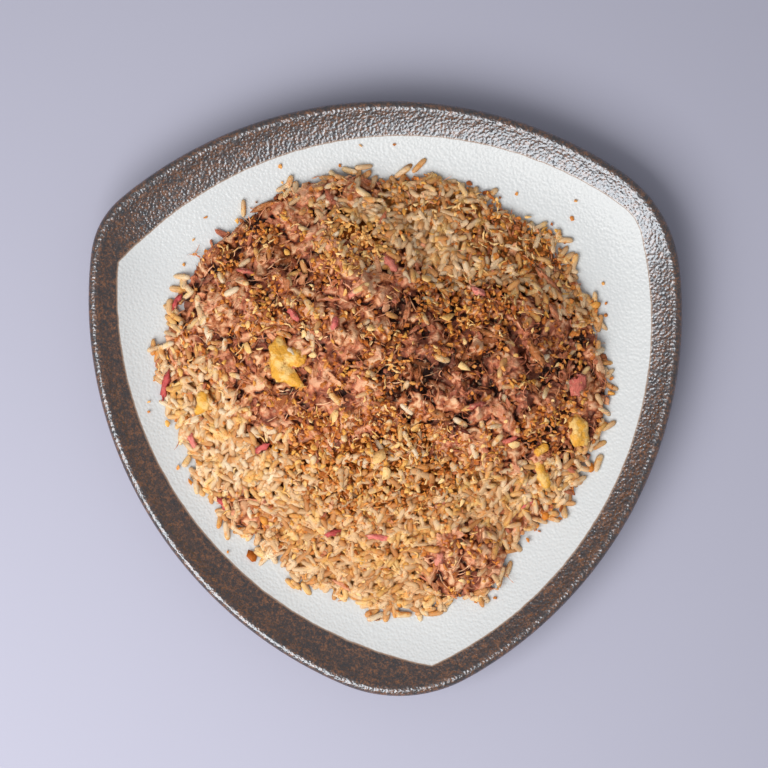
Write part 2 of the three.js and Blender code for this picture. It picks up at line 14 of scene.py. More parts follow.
import bmesh
import bpy
import numpy as np
from mathutils import Matrix, Vector, noise
from mathutils.bvhtree import BVHTree
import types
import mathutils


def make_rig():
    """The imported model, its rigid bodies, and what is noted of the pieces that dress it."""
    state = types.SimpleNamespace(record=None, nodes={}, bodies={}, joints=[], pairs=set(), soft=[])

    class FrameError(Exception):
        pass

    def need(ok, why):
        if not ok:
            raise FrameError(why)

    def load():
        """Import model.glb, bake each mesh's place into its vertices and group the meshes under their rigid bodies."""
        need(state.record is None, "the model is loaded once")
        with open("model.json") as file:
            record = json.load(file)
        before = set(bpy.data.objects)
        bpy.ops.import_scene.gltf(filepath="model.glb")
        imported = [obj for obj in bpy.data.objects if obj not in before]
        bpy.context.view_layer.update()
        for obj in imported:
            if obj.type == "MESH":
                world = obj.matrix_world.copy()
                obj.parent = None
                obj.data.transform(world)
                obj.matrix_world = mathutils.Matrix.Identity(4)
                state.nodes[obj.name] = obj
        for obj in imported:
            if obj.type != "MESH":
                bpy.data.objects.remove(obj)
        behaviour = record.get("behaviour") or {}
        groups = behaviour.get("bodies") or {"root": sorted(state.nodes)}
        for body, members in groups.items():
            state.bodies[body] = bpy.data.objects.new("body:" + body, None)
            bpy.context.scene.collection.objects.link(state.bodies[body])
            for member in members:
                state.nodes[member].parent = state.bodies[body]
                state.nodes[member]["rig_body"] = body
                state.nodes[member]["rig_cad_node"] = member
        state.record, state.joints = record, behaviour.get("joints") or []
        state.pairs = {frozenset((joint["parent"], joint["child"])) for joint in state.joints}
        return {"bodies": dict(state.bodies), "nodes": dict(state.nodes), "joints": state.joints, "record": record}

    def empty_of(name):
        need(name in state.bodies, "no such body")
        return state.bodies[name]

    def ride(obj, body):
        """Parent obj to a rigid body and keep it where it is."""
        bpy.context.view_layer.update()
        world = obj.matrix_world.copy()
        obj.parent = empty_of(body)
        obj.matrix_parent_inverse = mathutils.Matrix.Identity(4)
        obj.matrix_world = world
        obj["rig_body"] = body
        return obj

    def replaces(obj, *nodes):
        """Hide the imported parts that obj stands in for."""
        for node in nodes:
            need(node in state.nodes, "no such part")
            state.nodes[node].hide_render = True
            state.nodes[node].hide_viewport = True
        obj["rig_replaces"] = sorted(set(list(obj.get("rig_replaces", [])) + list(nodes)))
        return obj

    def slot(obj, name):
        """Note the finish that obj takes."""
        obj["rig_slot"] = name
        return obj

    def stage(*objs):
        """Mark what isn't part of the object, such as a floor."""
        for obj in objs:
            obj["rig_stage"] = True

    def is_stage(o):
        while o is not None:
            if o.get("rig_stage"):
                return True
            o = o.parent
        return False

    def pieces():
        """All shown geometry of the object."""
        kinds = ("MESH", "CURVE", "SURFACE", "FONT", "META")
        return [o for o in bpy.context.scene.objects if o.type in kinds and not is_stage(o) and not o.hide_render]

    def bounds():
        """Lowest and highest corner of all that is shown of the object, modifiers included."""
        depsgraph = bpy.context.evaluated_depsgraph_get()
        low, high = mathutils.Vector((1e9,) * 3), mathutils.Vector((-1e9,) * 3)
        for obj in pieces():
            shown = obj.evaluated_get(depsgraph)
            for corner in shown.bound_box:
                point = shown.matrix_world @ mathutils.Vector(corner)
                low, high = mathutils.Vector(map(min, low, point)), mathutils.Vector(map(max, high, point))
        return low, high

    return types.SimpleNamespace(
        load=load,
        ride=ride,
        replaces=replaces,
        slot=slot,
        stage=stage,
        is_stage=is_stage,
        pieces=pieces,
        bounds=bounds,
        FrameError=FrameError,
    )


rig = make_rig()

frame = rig.load()
CAD_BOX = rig.bounds()

MM = 0.001
SEED = 41
# The height in millimetres above which loose pieces are flattened, to keep within the CAD box.
CEILING = 54.5
LOG = logging.getLogger("fried_rice_plate")


def linear(red: int, green: int, blue: int) -> tuple[float, float, float, float]:
    """Turns a screen colour into the linear colour that a shader takes.

    Args:
        red: Red, from 0 to 255.
        green: Green, from 0 to 255.
        blue: Blue, from 0 to 255.

    Returns:
        The linear colour, opaque.
    """
    shares = [channel / 255 for channel in (red, green, blue)]
    bent = [s / 12.92 if s <= 0.04045 else ((s + 0.055) / 1.055) ** 2.4 for s in shares]
    return (bent[0], bent[1], bent[2], 1.0)


def stops(*rows: tuple) -> tuple:
    """Makes the stops of a ramp out of rows of a place and a screen colour."""
    return tuple((place, linear(*colour)) for place, *colour in rows)


class Wire:
    """A value in a material, as an expression that Python's operators add to."""

    def __init__(self, recipe: "Recipe", socket: bpy.types.NodeSocket) -> None:
        """Keeps the output socket and the recipe that it belongs to."""
        self.recipe = recipe
        self.socket = socket

    def _maths(self, operation: str, first: object, second: object) -> "Wire":
        """Adds one Math node that works on two numbers or wires."""
        return self.recipe.wire("ShaderNodeMath", {"operation": operation}, {0: first, 1: second})

    def __add__(self, other: object) -> "Wire":
        """Adds another value."""
        return self._maths("ADD", self, other)

    def __radd__(self, other: object) -> "Wire":
        """Adds this value to a number."""
        return self._maths("ADD", other, self)

    def __sub__(self, other: object) -> "Wire":
        """Takes another value away."""
        return self._maths("SUBTRACT", self, other)

    def __rsub__(self, other: object) -> "Wire":
        """Takes this value from a number."""
        return self._maths("SUBTRACT", other, self)

    def __mul__(self, other: object) -> "Wire":
        """Multiplies by another value."""
        return self._maths("MULTIPLY", self, other)

    def __rmul__(self, other: object) -> "Wire":
        """Multiplies a number by this value."""
        return self._maths("MULTIPLY", other, self)

    def outer(self, other: "Wire", blend: float = 0.0) -> "Wire":
        """Gives the greater of two values, rounded off where they are closer than blend."""
        sockets = {0: self, 1: other, 2: blend}
        return self.recipe.wire("ShaderNodeMath", {"operation": "SMOOTH_MAX"}, sockets)

    def parts(self) -> list["Wire"]:
        """Takes a vector apart into its three numbers."""
        node = self.recipe.node("ShaderNodeSeparateXYZ", {}, {0: self})
        return [Wire(self.recipe, socket) for socket in node.outputs]

    def magnitude(self) -> "Wire":
        """Gives the value without its sign."""
        return self._maths("ABSOLUTE", self, 0.0)

    def ease(self, low: float, high: float) -> "Wire":
        """Rises smoothly from 0 where the value is low to 1 where it is high."""
        settings = {"interpolation_type": "SMOOTHSTEP", "clamp": True}
        return self.recipe.wire("ShaderNodeMapRange", settings, {"Value": self, 1: low, 2: high})


class Recipe:
    """Builds one material out of nodes."""

    def __init__(self, name: str) -> None:
        """Starts an empty material.

        Args:
            name: The material's name.
        """
        self.material = bpy.data.materials.new(name)
        self.material.use_nodes = True
        self.tree = self.material.node_tree
        self.tree.nodes.clear()

    def node(self, kind: str, settings: dict, sockets: dict) -> bpy.types.Node:
        """Adds one node.

        Args:
            kind: The node's type.
            settings: Its own settings, set first; stops is a ramp's places and colours.
            sockets: Values or wires for its inputs, by name or number.

        Returns:
            The new node.
        """
        node = self.tree.nodes.new(kind)
        for name, value in settings.items():
            if name == "stops":
                self._set_stops(node.color_ramp, value)
            else:
                setattr(node, name, value)
        for key, value in sockets.items():
            if isinstance(value, Wire):
                self.tree.links.new(value.socket, node.inputs[key])
            else:
                node.inputs[key].default_value = value
        return node

    @staticmethod
    def _set_stops(ramp: bpy.types.ColorRamp, stops: tuple) -> None:
        """Places a ramp's stops.

        Args:
            ramp: The ramp of a node.
            stops: A place and a colour for each.
        """
        while len(ramp.elements) < len(stops):
            ramp.elements.new(0.5)
        for element, (place, colour) in zip(ramp.elements, stops):
            element.position = place
            element.color = colour

    def wire(self, kind: str, settings: dict, sockets: dict, output: object = 0) -> Wire:
        """Adds one node and gives one of its outputs, by name or number."""
        return Wire(self, self.node(kind, settings, sockets).outputs[output])

    def place(self) -> Wire:
        """Gives the point on the piece, in metres."""
        return self.wire("ShaderNodeTexCoord", {}, {}, "Object")

    def attribute(self, name: str, output: str = "Fac") -> Wire:
        """Reads one of the mesh's own attributes, as a number or as a Vector."""
        return self.wire("ShaderNodeAttribute", {"attribute_name": name}, {}, output)

    def noise(self, place: Wire, size: float, detail: float = 3.0, roughness: float = 0.55) -> Wire:
        """Adds cloudy noise around one half, with lumps of a size in the unit of place."""
        sockets = {"Vector": place, "Scale": 1 / size, "Detail": detail, "Roughness": roughness}
        return self.wire("ShaderNodeTexNoise", {}, sockets, "Fac")

    def cells(self, place: Wire, size: float) -> Wire:
        """Adds rounded cells of that size, as the distance from the nearest one's middle."""
        sockets = {"Vector": place, "Scale": 1 / size}
        return self.wire("ShaderNodeTexVoronoi", {"feature": "SMOOTH_F1"}, sockets, "Distance")

    def stretch(self, place: Wire, scale: tuple[float, float, float]) -> Wire:
        """Scales a place along its three axes."""
        return self.wire("ShaderNodeVectorMath", {"operation": "MULTIPLY"}, {0: place, 1: scale})

    def ramp(self, value: Wire, stops: tuple) -> Wire:
        """Turns a value from 0 to 1 into a colour."""
        return self.wire("ShaderNodeValToRGB", {"stops": stops}, {"Fac": value}, "Color")

    def mix(self, share: object, base: object, over: object) -> Wire:
        """Mixes two colours; share says how much of the second one shows."""
        return self.wire("ShaderNodeMix", {"data_type": "RGBA"}, {0: share, 6: base, 7: over}, 2)

    def bump(self, height: Wire, depth: float) -> Wire:
        """Bends the normal by a pattern from 0 to 1 that stands that many metres high."""
        sockets = {"Height": height, "Distance": depth, "Strength": 1.0}
        return self.wire("ShaderNodeBump", {}, sockets, "Normal")

    def surface(self, sockets: dict) -> Wire:
        """Adds a surface shader with values or wires for its inputs; light bleeds between grains."""
        return self.wire("ShaderNodeBsdfPrincipled", {"subsurface_method": "BURLEY"}, sockets)

    def finish(self, surface: Wire) -> bpy.types.Material:
        """Closes the material with its surface."""
        self.node("ShaderNodeOutputMaterial", {}, {"Surface": surface})
        return self.material


@dataclass(frozen=True)
class StonewareGlaze:
    """White glaze in the well, a pebbled brown one on the rim, and bare clay under the foot."""

    white: tuple = linear(219, 222, 222)
    white_shade: tuple = linear(212, 215, 216)
    brown: tuple = linear(62, 36, 16)
    brown_dark: tuple = linear(28, 16, 9)
    brown_light: tuple = linear(130, 80, 34)
    seam: tuple = linear(150, 118, 92)
    clay: tuple = linear(186, 166, 142)
    seam_half_width: float = 0.35
    pebble: float = 1.3
    foot_top: float = 0.0005

    def material(self) -> bpy.types.Material:
        """Mixes the glaze.

        Returns:
            The material.
        """
        recipe = Recipe("stoneware_glaze")
        place = recipe.place()
        far, left, right = recipe.attribute("glaze_arcs", "Vector").parts()
        wander = (recipe.noise(place, 7 * MM) - 0.5) * 0.9
        line = far.outer(right, 7.0).outer(left) + wander
        rim = line.ease(-0.2, 0.2)
        seam = 1 - line.magnitude().ease(self.seam_half_width * 0.5, self.seam_half_width * 1.6)
        pebbles = recipe.cells(place, self.pebble * MM)
        fine = recipe.noise(place, 0.8 * MM, 2.0)
        broad = recipe.noise(place, 3.5 * MM, 3.0)
        speckle = recipe.noise(place, 0.75 * MM, 2.0, 0.7)
        brown = recipe.ramp(
            speckle * 0.45 + recipe.noise(place, 1.8 * MM, 2.0) * 0.3 + broad * 0.25,
            ((0.41, self.brown_dark), (0.5, self.brown), (0.6, self.brown_light)),
        )
        white = recipe.mix(recipe.noise(place, 30 * MM), self.white, self.white_shade)
        white = recipe.mix(seam * 0.8, white, self.seam)
        bare = 1 - recipe.attribute("height").ease(self.foot_top * 0.6, self.foot_top)
        brown = recipe.mix(bare, recipe.mix(seam * 0.8, brown, self.seam), self.clay)
        relief = pebbles * 0.8 + fine * 0.2
        well = recipe.surface({
            "Base Color": white,
            "Roughness": 0.18 + fine * 0.06,
            "Normal": recipe.bump(relief, 0.28 * MM),
            "IOR": 1.33,
        })
        border = recipe.surface({
            "Base Color": brown,
            "Roughness": 0.24 + fine * 0.1 + bare * 0.5,
            "Normal": recipe.bump(relief, 0.42 * MM),
            "IOR": 2.35,
            "Specular Tint": (0.84, 0.92, 1.0, 1.0),
        })
        return recipe.finish(recipe.wire("ShaderNodeMixShader", {}, {0: rim, 1: well, 2: border}))


@dataclass(frozen=True)
class GrainFinish:
    """Cooked rice: creamy or toasted grains with a moist, oily surface."""

    name: str
    stops: tuple
    tip: tuple = linear(204, 128, 60)
    gold: tuple = linear(236, 190, 104)
    speck: tuple = linear(96, 48, 24)

    def material(self) -> bpy.types.Material:
        """Mixes the colour of a grain.

        Returns:
            The material.
        """
        recipe = Recipe(self.name)
        local = recipe.attribute("local", "Vector")
        place = recipe.place()
        streaks = recipe.noise(recipe.stretch(local, (0.5, 2.2, 2.2)), 1.6, 2.0)
        patch = recipe.noise(place, 9 * MM, 2.0)
        tone = recipe.attribute("tone") * 0.42 + (patch - 0.3) * 0.8 + (streaks - 0.5) * 0.2 + 0.07
        colour = recipe.ramp(tone, self.stops)
        gilding = recipe.noise(place, 7 * MM, 3.0, 0.6).ease(0.5, 0.62)
        colour = recipe.mix(gilding * 0.5, colour, self.gold)
        stain = recipe.noise(place, 3.5 * MM, 3.0, 0.6).ease(0.53, 0.66)
        colour = recipe.mix(stain * 0.7, colour, self.tip)
        specks = recipe.noise(place, 1.1 * MM, 2.0).ease(0.66, 0.74)
        colour = recipe.mix(specks * 0.6, colour, self.speck)
        normal = recipe.bump(streaks, 0.1 * MM)
        return recipe.finish(recipe.surface({
            "Base Color": colour,
            "Roughness": 0.45,
            "Normal": normal,
            "Subsurface Weight": 0.85,
            "Subsurface Radius": (1.0, 0.9, 0.8),
            "Subsurface Scale": 2.6 * MM,
            "IOR": 1.3,
        }))


@dataclass(frozen=True)
class MeatFinish:
    """Torn meat: granular and streaked, in patches of pinkish tan and of browned orange."""

    name: str
    stops: tuple
    pink: tuple = linear(226, 138, 108)
    browned: tuple = linear(176, 104, 58)
    pale: tuple = linear(240, 200, 160)
    browning: float = 0.55

    def material(self) -> bpy.types.Material:
        """Mixes the colour of the meat.

        Returns:
            The material.
        """
        recipe = Recipe(self.name)
        local = recipe.attribute("local", "Vector")
        place = recipe.place()
        streaks = recipe.noise(recipe.stretch(local, (0.3, 1.0, 1.0)), 0.7, 3.0, 0.65)
        mottle = recipe.noise(local, 1.3, 3.0, 0.6)
        tone = recipe.attribute("tone") + (streaks - 0.5) * 0.45 + (mottle - 0.5) * 0.4
        colour = recipe.ramp(tone, self.stops)
        kind = recipe.attribute("kind") + (recipe.noise(place, 5 * MM, 3.0) - 0.5) * 0.8
        colour = recipe.mix(kind.ease(0.5, 0.75) * 0.42, colour, self.pink)
        colour = recipe.mix((1 - kind.ease(0.1, 0.35)) * self.browning, colour, self.browned)
        colour = recipe.mix(recipe.noise(local, 2.2, 3.0).ease(0.56, 0.68) * 0.4, colour, self.pale)
        normal = recipe.bump(streaks * 0.5 + mottle * 0.5, 1.0 * MM)
        return recipe.finish(recipe.surface({
            "Base Color": colour,
            "Roughness": 0.5,
            "Normal": normal,
            "Subsurface Weight": 0.15,
            "Subsurface Radius": (1.0, 0.6, 0.4),
            "Subsurface Scale": 0.8 * MM,
            "IOR": 1.33,
        }))


@dataclass(frozen=True)
class GarlicFinish:
    """Fried garlic: golden crumbs and flakes, browner on some sides."""

    name: str
    stops: tuple

    def material(self) -> bpy.types.Material:
        """Mixes the colour of the garlic.

        Returns:
            The material.
        """
        recipe = Recipe(self.name)
        local = recipe.attribute("local", "Vector")
        mottle = recipe.noise(local, 1.5, 3.0, 0.6)
        tone = recipe.attribute("tone") + (mottle - 0.5) * 0.7
        colour = recipe.ramp(tone, self.stops)
        normal = recipe.bump(mottle, 0.5 * MM)
        return recipe.finish(recipe.surface({
            "Base Color": colour,
            "Roughness": 0.45,
            "Normal": normal,
            "Subsurface Weight": 0.3,
            "Subsurface Radius": (1.0, 0.8, 0.6),
            "Subsurface Scale": 1.0 * MM,
            "IOR": 1.33,
        }))


@dataclass(frozen=True)
class EggFinish:
    """Fried egg: soft yellow curd with paler white and a few browned spots."""

    yolk: tuple = linear(232, 168, 62)
    white: tuple = linear(240, 196, 118)
    browned: tuple = linear(206, 122, 40)

    def material(self) -> bpy.types.Material:
        """Mixes the colour of the egg.

        Returns:
            The material.
        """
        recipe = Recipe("fried_egg")
        place = recipe.place()
        cloud = recipe.noise(place, 5 * MM, 3.0)
        colour = recipe.mix(cloud.ease(0.46, 0.62), self.yolk, self.white)
        spots = recipe.noise(place, 2.2 * MM, 3.0, 0.6).ease(0.58, 0.7)
        colour = recipe.mix(spots * 0.55, colour, self.browned)
        normal = recipe.bump(recipe.noise(place, 1.6 * MM, 3.0), 0.7 * MM)
        return recipe.finish(recipe.surface({
            "Base Color": colour,
            "Roughness": 0.33,
            "Normal": normal,
            "Subsurface Weight": 0.25,
            "Subsurface Radius": (1.0, 0.85, 0.6),
            "Subsurface Scale": 1.5 * MM,
            "IOR": 1.35,
        }))


@dataclass(frozen=True)
class CoreFinish:
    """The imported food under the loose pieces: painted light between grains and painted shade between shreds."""

    # Rice colours painted bright, so that the gaps between grains look lit.
    rice: tuple = linear(238, 190, 124)
    rice_dark: tuple = linear(220, 150, 78)
    # Meat colours painted dark, as shade between shreds.
    meat: tuple = linear(120, 58, 30)
    meat_deep_shade: tuple = linear(66, 26, 12)
    garlic: tuple = linear(178, 98, 34)

    def material(self) -> bpy.types.Material:
        """Mixes the colour of the core.

        Returns:
            The material.
        """
        recipe = Recipe("packed_food")
        place = recipe.place()
        lumps = recipe.noise(place, 2.2 * MM, 4.0, 0.65)
        rice = recipe.mix(lumps.ease(0.4, 0.6), self.rice_dark, self.rice)
        meat = recipe.mix(lumps.ease(0.45, 0.65), self.meat_deep_shade, self.meat)
        colour = recipe.mix(recipe.attribute("meat"), rice, meat)
        colour = recipe.mix(recipe.attribute("garlic") * 0.75, colour, self.garlic)
        return recipe.finish(recipe.surface({
            "Base Color": colour,
            "Roughness": 0.7,
            "Normal": recipe.bump(lumps, 1.5 * MM),
            "IOR": 1.2,
        }))


@dataclass(frozen=True)
class FloorFinish:
    """A plain pale table top with a breath of blue."""

    colour: tuple = linear(182, 182, 199)
    shade: tuple = linear(176, 176, 194)

    def material(self) -> bpy.types.Material:
        """Mixes the table's colour.

        Returns:
            The material.
        """
        recipe = Recipe("pale_table")
        cloud = recipe.noise(recipe.place(), 0.5, 2.0)
        colour = recipe.mix(cloud, self.colour, self.shade)
        return recipe.finish(recipe.surface({"Base Color": colour, "Roughness": 0.7}))


def box_blur(values: np.ndarray, reach: int) -> np.ndarray:
    """Averages a grid over a square around each cell.

    Args:
        values: The grid.
        reach: How many cells the square reaches each way.

    Returns:
        The averaged grid.
    """
    padded = np.pad(values, reach, mode="edge")
    total = np.zeros_like(values)
    span = range(2 * reach + 1)
    for i in span:
        for j in span:
            total += padded[i:i + values.shape[0], j:j + values.shape[1]]
    return total / (2 * reach + 1) ** 2


Field = Callable[[np.ndarray, np.ndarray], np.ndarray]


@dataclass
class Ripple:
    """Smooth seeded noise over the plan, from -1 to 1."""

    seed: int
    size: float
    cells: int = 61

    def __post_init__(self) -> None:
        """Draws the noise's corner values."""
        self.table = np.random.default_rng(self.seed).uniform(-1, 1, (self.cells, self.cells))

    def at(self, x: np.ndarray, y: np.ndarray) -> np.ndarray:
        """Reads the noise.

        Args:
            x: Places along X, in metres.
            y: Places along Y, in metres.

        Returns:
            The noise there.
        """
        u, v = x / self.size, y / self.size
        i, j = np.floor(u).astype(int), np.floor(v).astype(int)
        u, v = u - i, v - j
        u, v = u * u * (3 - 2 * u), v * v * (3 - 2 * v)

        def corner(a: int, b: int) -> np.ndarray:
            """Reads the corner value a and b steps on."""
            return self.table[(i + a) % self.cells, (j + b) % self.cells]

        near = corner(0, 0) * (1 - u) + corner(1, 0) * u
        far = corner(0, 1) * (1 - u) + corner(1, 1) * u
        return near * (1 - v) + far * v


class Ground:
    """Heights of the plate and of the food on it, read from the CAD solids on a square grid.

    Beside the solids, in a fringe some cells wide, ragged tongues of food thin out the outline.
    """

    HALF = 0.150
    STEP = 0.001
    FOOD = ("rice_heap", "shredded_meat", "meat_clump_near")
    FRINGE = 6
    FRINGE_FILL = 0.8
    TONGUE = 0.06

    def __init__(self, nodes: dict) -> None:
        """Reads the heights.

        Args:
            nodes: The CAD nodes by name.
        """
        self.count = int(round(2 * self.HALF / self.STEP)) + 1
        self.plate = self._heights([nodes["plate"]])
        food = self._heights([nodes[name] for name in self.FOOD])
        covered = (food > self.plate).astype(float)
        self.cover = box_blur(covered, 1)
        self.fringe = box_blur(covered, self.FRINGE)
        self.ragged = Ripple(SEED + 3, 4.5 * MM)
        self.top = box_blur(np.maximum(food, self.plate), 1)
        self.bare = self.top
        broad = box_blur(self.top, 2)
        self.slope_x, self.slope_y = np.gradient(broad, self.STEP)

    def _heights(self, objects: list) -> np.ndarray:
        """Drops a ray on the objects at each point of the grid.

        Args:
            objects: CAD nodes.

        Returns:
            The height of the first hit, or 0 where there is none.
        """
        points, faces = [], []
        for piece in objects:
            start = len(points)
            points.extend(vertex.co.copy() for vertex in piece.data.vertices)
            faces.extend([start + i for i in polygon.vertices] for polygon in piece.data.polygons)
        tree = BVHTree.FromPolygons(points, faces)
        line = np.linspace(-self.HALF, self.HALF, self.count)
        heights = np.zeros((self.count, self.count))
        down = Vector((0, 0, -1))
        for i, x in enumerate(line):
            for j, y in enumerate(line):
                hit = tree.ray_cast(Vector((x, y, 0.2)), down)[0]
                if hit is not None:
                    heights[i, j] = hit.z
        return heights

    def read(self, grid: np.ndarray, x: np.ndarray, y: np.ndarray) -> np.ndarray:
        """Reads a grid between its points.

        Args:
            grid: One of this ground's grids.
            x: Places along X, in metres.
            y: Places along Y, in metres.

        Returns:
            The values there.
        """
        u = np.clip((x + self.HALF) / self.STEP, 0, self.count - 1.001)
        v = np.clip((y + self.HALF) / self.STEP, 0, self.count - 1.001)
        i, j = u.astype(int), v.astype(int)
        u, v = u - i, v - j
        low = grid[i, j] * (1 - u) + grid[i + 1, j] * u
        high = grid[i, j + 1] * (1 - u) + grid[i + 1, j + 1] * u
        return low * (1 - v) + high * v

    def share(self, x: np.ndarray, y: np.ndarray) -> np.ndarray:
        """Tells where food lies: all over the solids and in ragged tongues beside them.

        Args:
            x: Places along X, in metres.
            y: Places along Y, in metres.

        Returns:
            Shares from 0 to 1.
        """
        inside = np.clip((self.read(self.cover, x, y) - 0.1) * 2, 0, 1)
        beside = np.clip((self.read(self.fringe, x, y) - 0.05) * 4, 0, self.FRINGE_FILL)
        return np.maximum(inside, beside * (self.ragged.at(x, y) > self.TONGUE))

    def raise_to(self, layer: "MeatLayer") -> None:
        """Raises the ground to the top of a layer on it.

        Args:
            layer: The layer of meat.
        """
        line = np.linspace(-self.HALF, self.HALF, self.count)
        x, y = (axis.ravel() for axis in np.meshgrid(line, line, indexing="ij"))
        top = layer.surface(x, y)[0].reshape(self.top.shape)
        self.top = np.maximum(self.top, top)

    def normals(self, x: np.ndarray, y: np.ndarray) -> np.ndarray:
        """Gives the surface's normals.

        Args:
            x: Places along X, in metres.
            y: Places along Y, in metres.

        Returns:
            One unit vector for each place.
        """
        slope = [-self.read(self.slope_x, x, y), -self.read(self.slope_y, x, y), np.ones_like(x)]
        normals = np.stack(slope, axis=1)
        return normals / np.linalg.norm(normals, axis=1, keepdims=True)


@dataclass(frozen=True)
class Region:
    """An oval patch of the plan, in millimetres, with a soft edge."""

    x: float
    y: float
    long: float
    wide: float
    turn: float = 0.0
    weight: float = 1.0
    soft: float = 0.35

    def share(self, x: np.ndarray, y: np.ndarray) -> np.ndarray:
        """Tells how far places belong to the region.

        Args:
            x: Places along X, in metres.
            y: Places along Y, in metres.

        Returns:
            From 0 outside to the region's weight inside.
        """
        turn = math.radians(self.turn)
        dx, dy = x / MM - self.x, y / MM - self.y
        along = (dx * math.cos(turn) + dy * math.sin(turn)) / self.long
        across = (-dx * math.sin(turn) + dy * math.cos(turn)) / self.wide
        return self.weight * np.clip((1 - np.hypot(along, across)) / self.soft + 0.5, 0, 1)


def most(regions: tuple, x: np.ndarray, y: np.ndarray) -> np.ndarray:
    """Gives the largest share that any of the regions has at each place."""
    return np.max([region.share(x, y) for region in regions], axis=0)


MEAT_REGIONS = (
    Region(56, 9, 61, 45, -14),
    Region(-27, 27, 62, 52),
    Region(-62, 68, 42, 30, 40),
    Region(-98, 31, 10, 25, -6, 0.8),
    Region(39, -80, 22, 18, 15),
    Region(-67, -55, 14, 10, -30, 0.75),
    Region(-25, 101, 24, 9, 6, 0.8),
    Region(72, -58, 16, 10, 35, 0.5),
    Region(26, 98, 24, 8, -8, 0.35),
    Region(66, 80, 36, 24, -40, 0.4),
    Region(-84, 14, 18, 16, 0, 0.3),
)
# Over the right of the heap: the meat's tone gets painted shade here and its relief is stronger.
MEAT_SHADE_REGION = Region(60, 16, 50, 38, -14, 1.0, 0.8)
PALE_MEAT = Region(39, -80, 24, 20, 15, 1.0, 0.6)
GARLIC_REGIONS = (
    Region(-3, -32, 47, 28, -6, 0.9),
    Region(-16, 77, 17, 17, 0, 0.9),
    Region(41, 47, 28, 12, -12, 0.9),
    Region(-57, 43, 17, 11, 0, 0.6),
    Region(-3, 18, 11, 18, 0, 0.6),
    Region(62, 84, 30, 24, -30, 0.6),
    Region(78, -16, 16, 12, 0, 0.45),
    Region(20, 100, 24, 12, 0, 0.5),
    Region(90, 44, 20, 26, 0, 0.35),
    Region(-20, -70, 40, 14, -8, 0.22),
)


@dataclass
class Shape:
    """A small closed shape that is repeated, as arrays of points in millimetres and triangles."""

    points: np.ndarray
    faces: np.ndarray

    @classmethod
    def of(cls, mesh: bmesh.types.BMesh) -> "Shape":
        """Takes the arrays out of a mesh that an operator shaped, and frees it.

        Args:
            mesh: The mesh.

        Returns:
            The shape.
        """
        bmesh.ops.triangulate(mesh, faces=mesh.faces[:])
        bmesh.ops.recalc_face_normals(mesh, faces=mesh.faces[:])
        mesh.verts.index_update()
        points = np.array([vertex.co[:] for vertex in mesh.verts])
        faces = np.array([[vertex.index for vertex in face.verts] for face in mesh.faces])
        mesh.free()
        return cls(points, faces)


def blob(lobes: np.ndarray, detail: int) -> bmesh.types.BMesh:
    """Blends rounded lobes into one soft lump, by drawing a ball's points out to their surface.

    Args:
        lobes: A row of x, y, z and radius for each lobe, in millimetres, around the origin.
        detail: How finely the ball is divided.

    Returns:
        The lump.
    """
    mesh = bmesh.new()
    bmesh.ops.create_icosphere(mesh, subdivisions=detail, radius=1)
    rays = np.array([vertex.co[:] for vertex in mesh.verts])
    far = float(np.max(np.linalg.norm(lobes[:, :3], axis=1) + lobes[:, 3])) * 1.3
    steps = np.linspace(0, far, 60)
    points = rays[:, None, :] * steps[None, :, None]
    gaps = np.linalg.norm(points[:, :, None, :] - lobes[None, None, :, :3], axis=3)
    falloff = 1.2
    skin = math.exp(-falloff)
    strength = np.exp(-falloff * (gaps / lobes[:, 3]) ** 2).sum(axis=2)
    outside = strength < skin
    outside[:, -1] = True
    outside[:, 0] = False
    last = np.argmax(outside, axis=1)
    inner = np.take_along_axis(strength, (last - 1)[:, None], axis=1)[:, 0]
    outer = np.take_along_axis(strength, last[:, None], axis=1)[:, 0]
    part = np.clip((inner - skin) / np.maximum(inner - outer, 1e-6), 0, 1)
    reach = steps[last - 1] + part * (steps[1] - steps[0])
    for vertex, ray, length in zip(mesh.verts, rays, reach):
        vertex.co = ray * max(length, 0.2)
    return mesh


def roughen(mesh: bmesh.types.BMesh, grain: Vector, depth: float, seed: Vector) -> None:
    """Moves a lump's points in and out by layered noise.

    Args:
        mesh: The lump.
        grain: The noise's size along each axis, in millimetres.
        depth: How far the points move, as a share of their distance from the origin.
        seed: An offset that makes the noise another one.
    """
    for vertex in mesh.verts:
        place = Vector([a / b for a, b in zip(vertex.co, grain)]) + seed
        vertex.co *= 1 + depth * noise.fractal(place, 0.6, 2.1, 4)


@dataclass
class Lay:
    """Where loose pieces of one kind lie, which way they point and how large they are."""

    place: np.ndarray
    turn: np.ndarray
    size: np.ndarray
    tone: np.ndarray

    def __len__(self) -> int:
        """Counts the pieces."""
        return len(self.place)

    @property
    def spots(self) -> tuple[np.ndarray, np.ndarray]:
        """Gives the pieces' places along X and Y, in metres."""
        return self.place[:, 0], self.place[:, 1]


@dataclass(frozen=True)
class Kind:
    """How one kind of loose piece is strewn.

    The pitch between neighbours and the lowest and highest rise above the ground are in millimetres.
    Size is the smallest and largest factor, tones the darkest and lightest tone. Tilt and roll
    against the ground and the spread of the bearings within a clump are in radians.
    """

    name: str
    pitch: float
    rise: tuple
    size: tuple
    tones: tuple
    tilt: float = 0.35
    roll: float = 0.6
    spread: float = 0.7


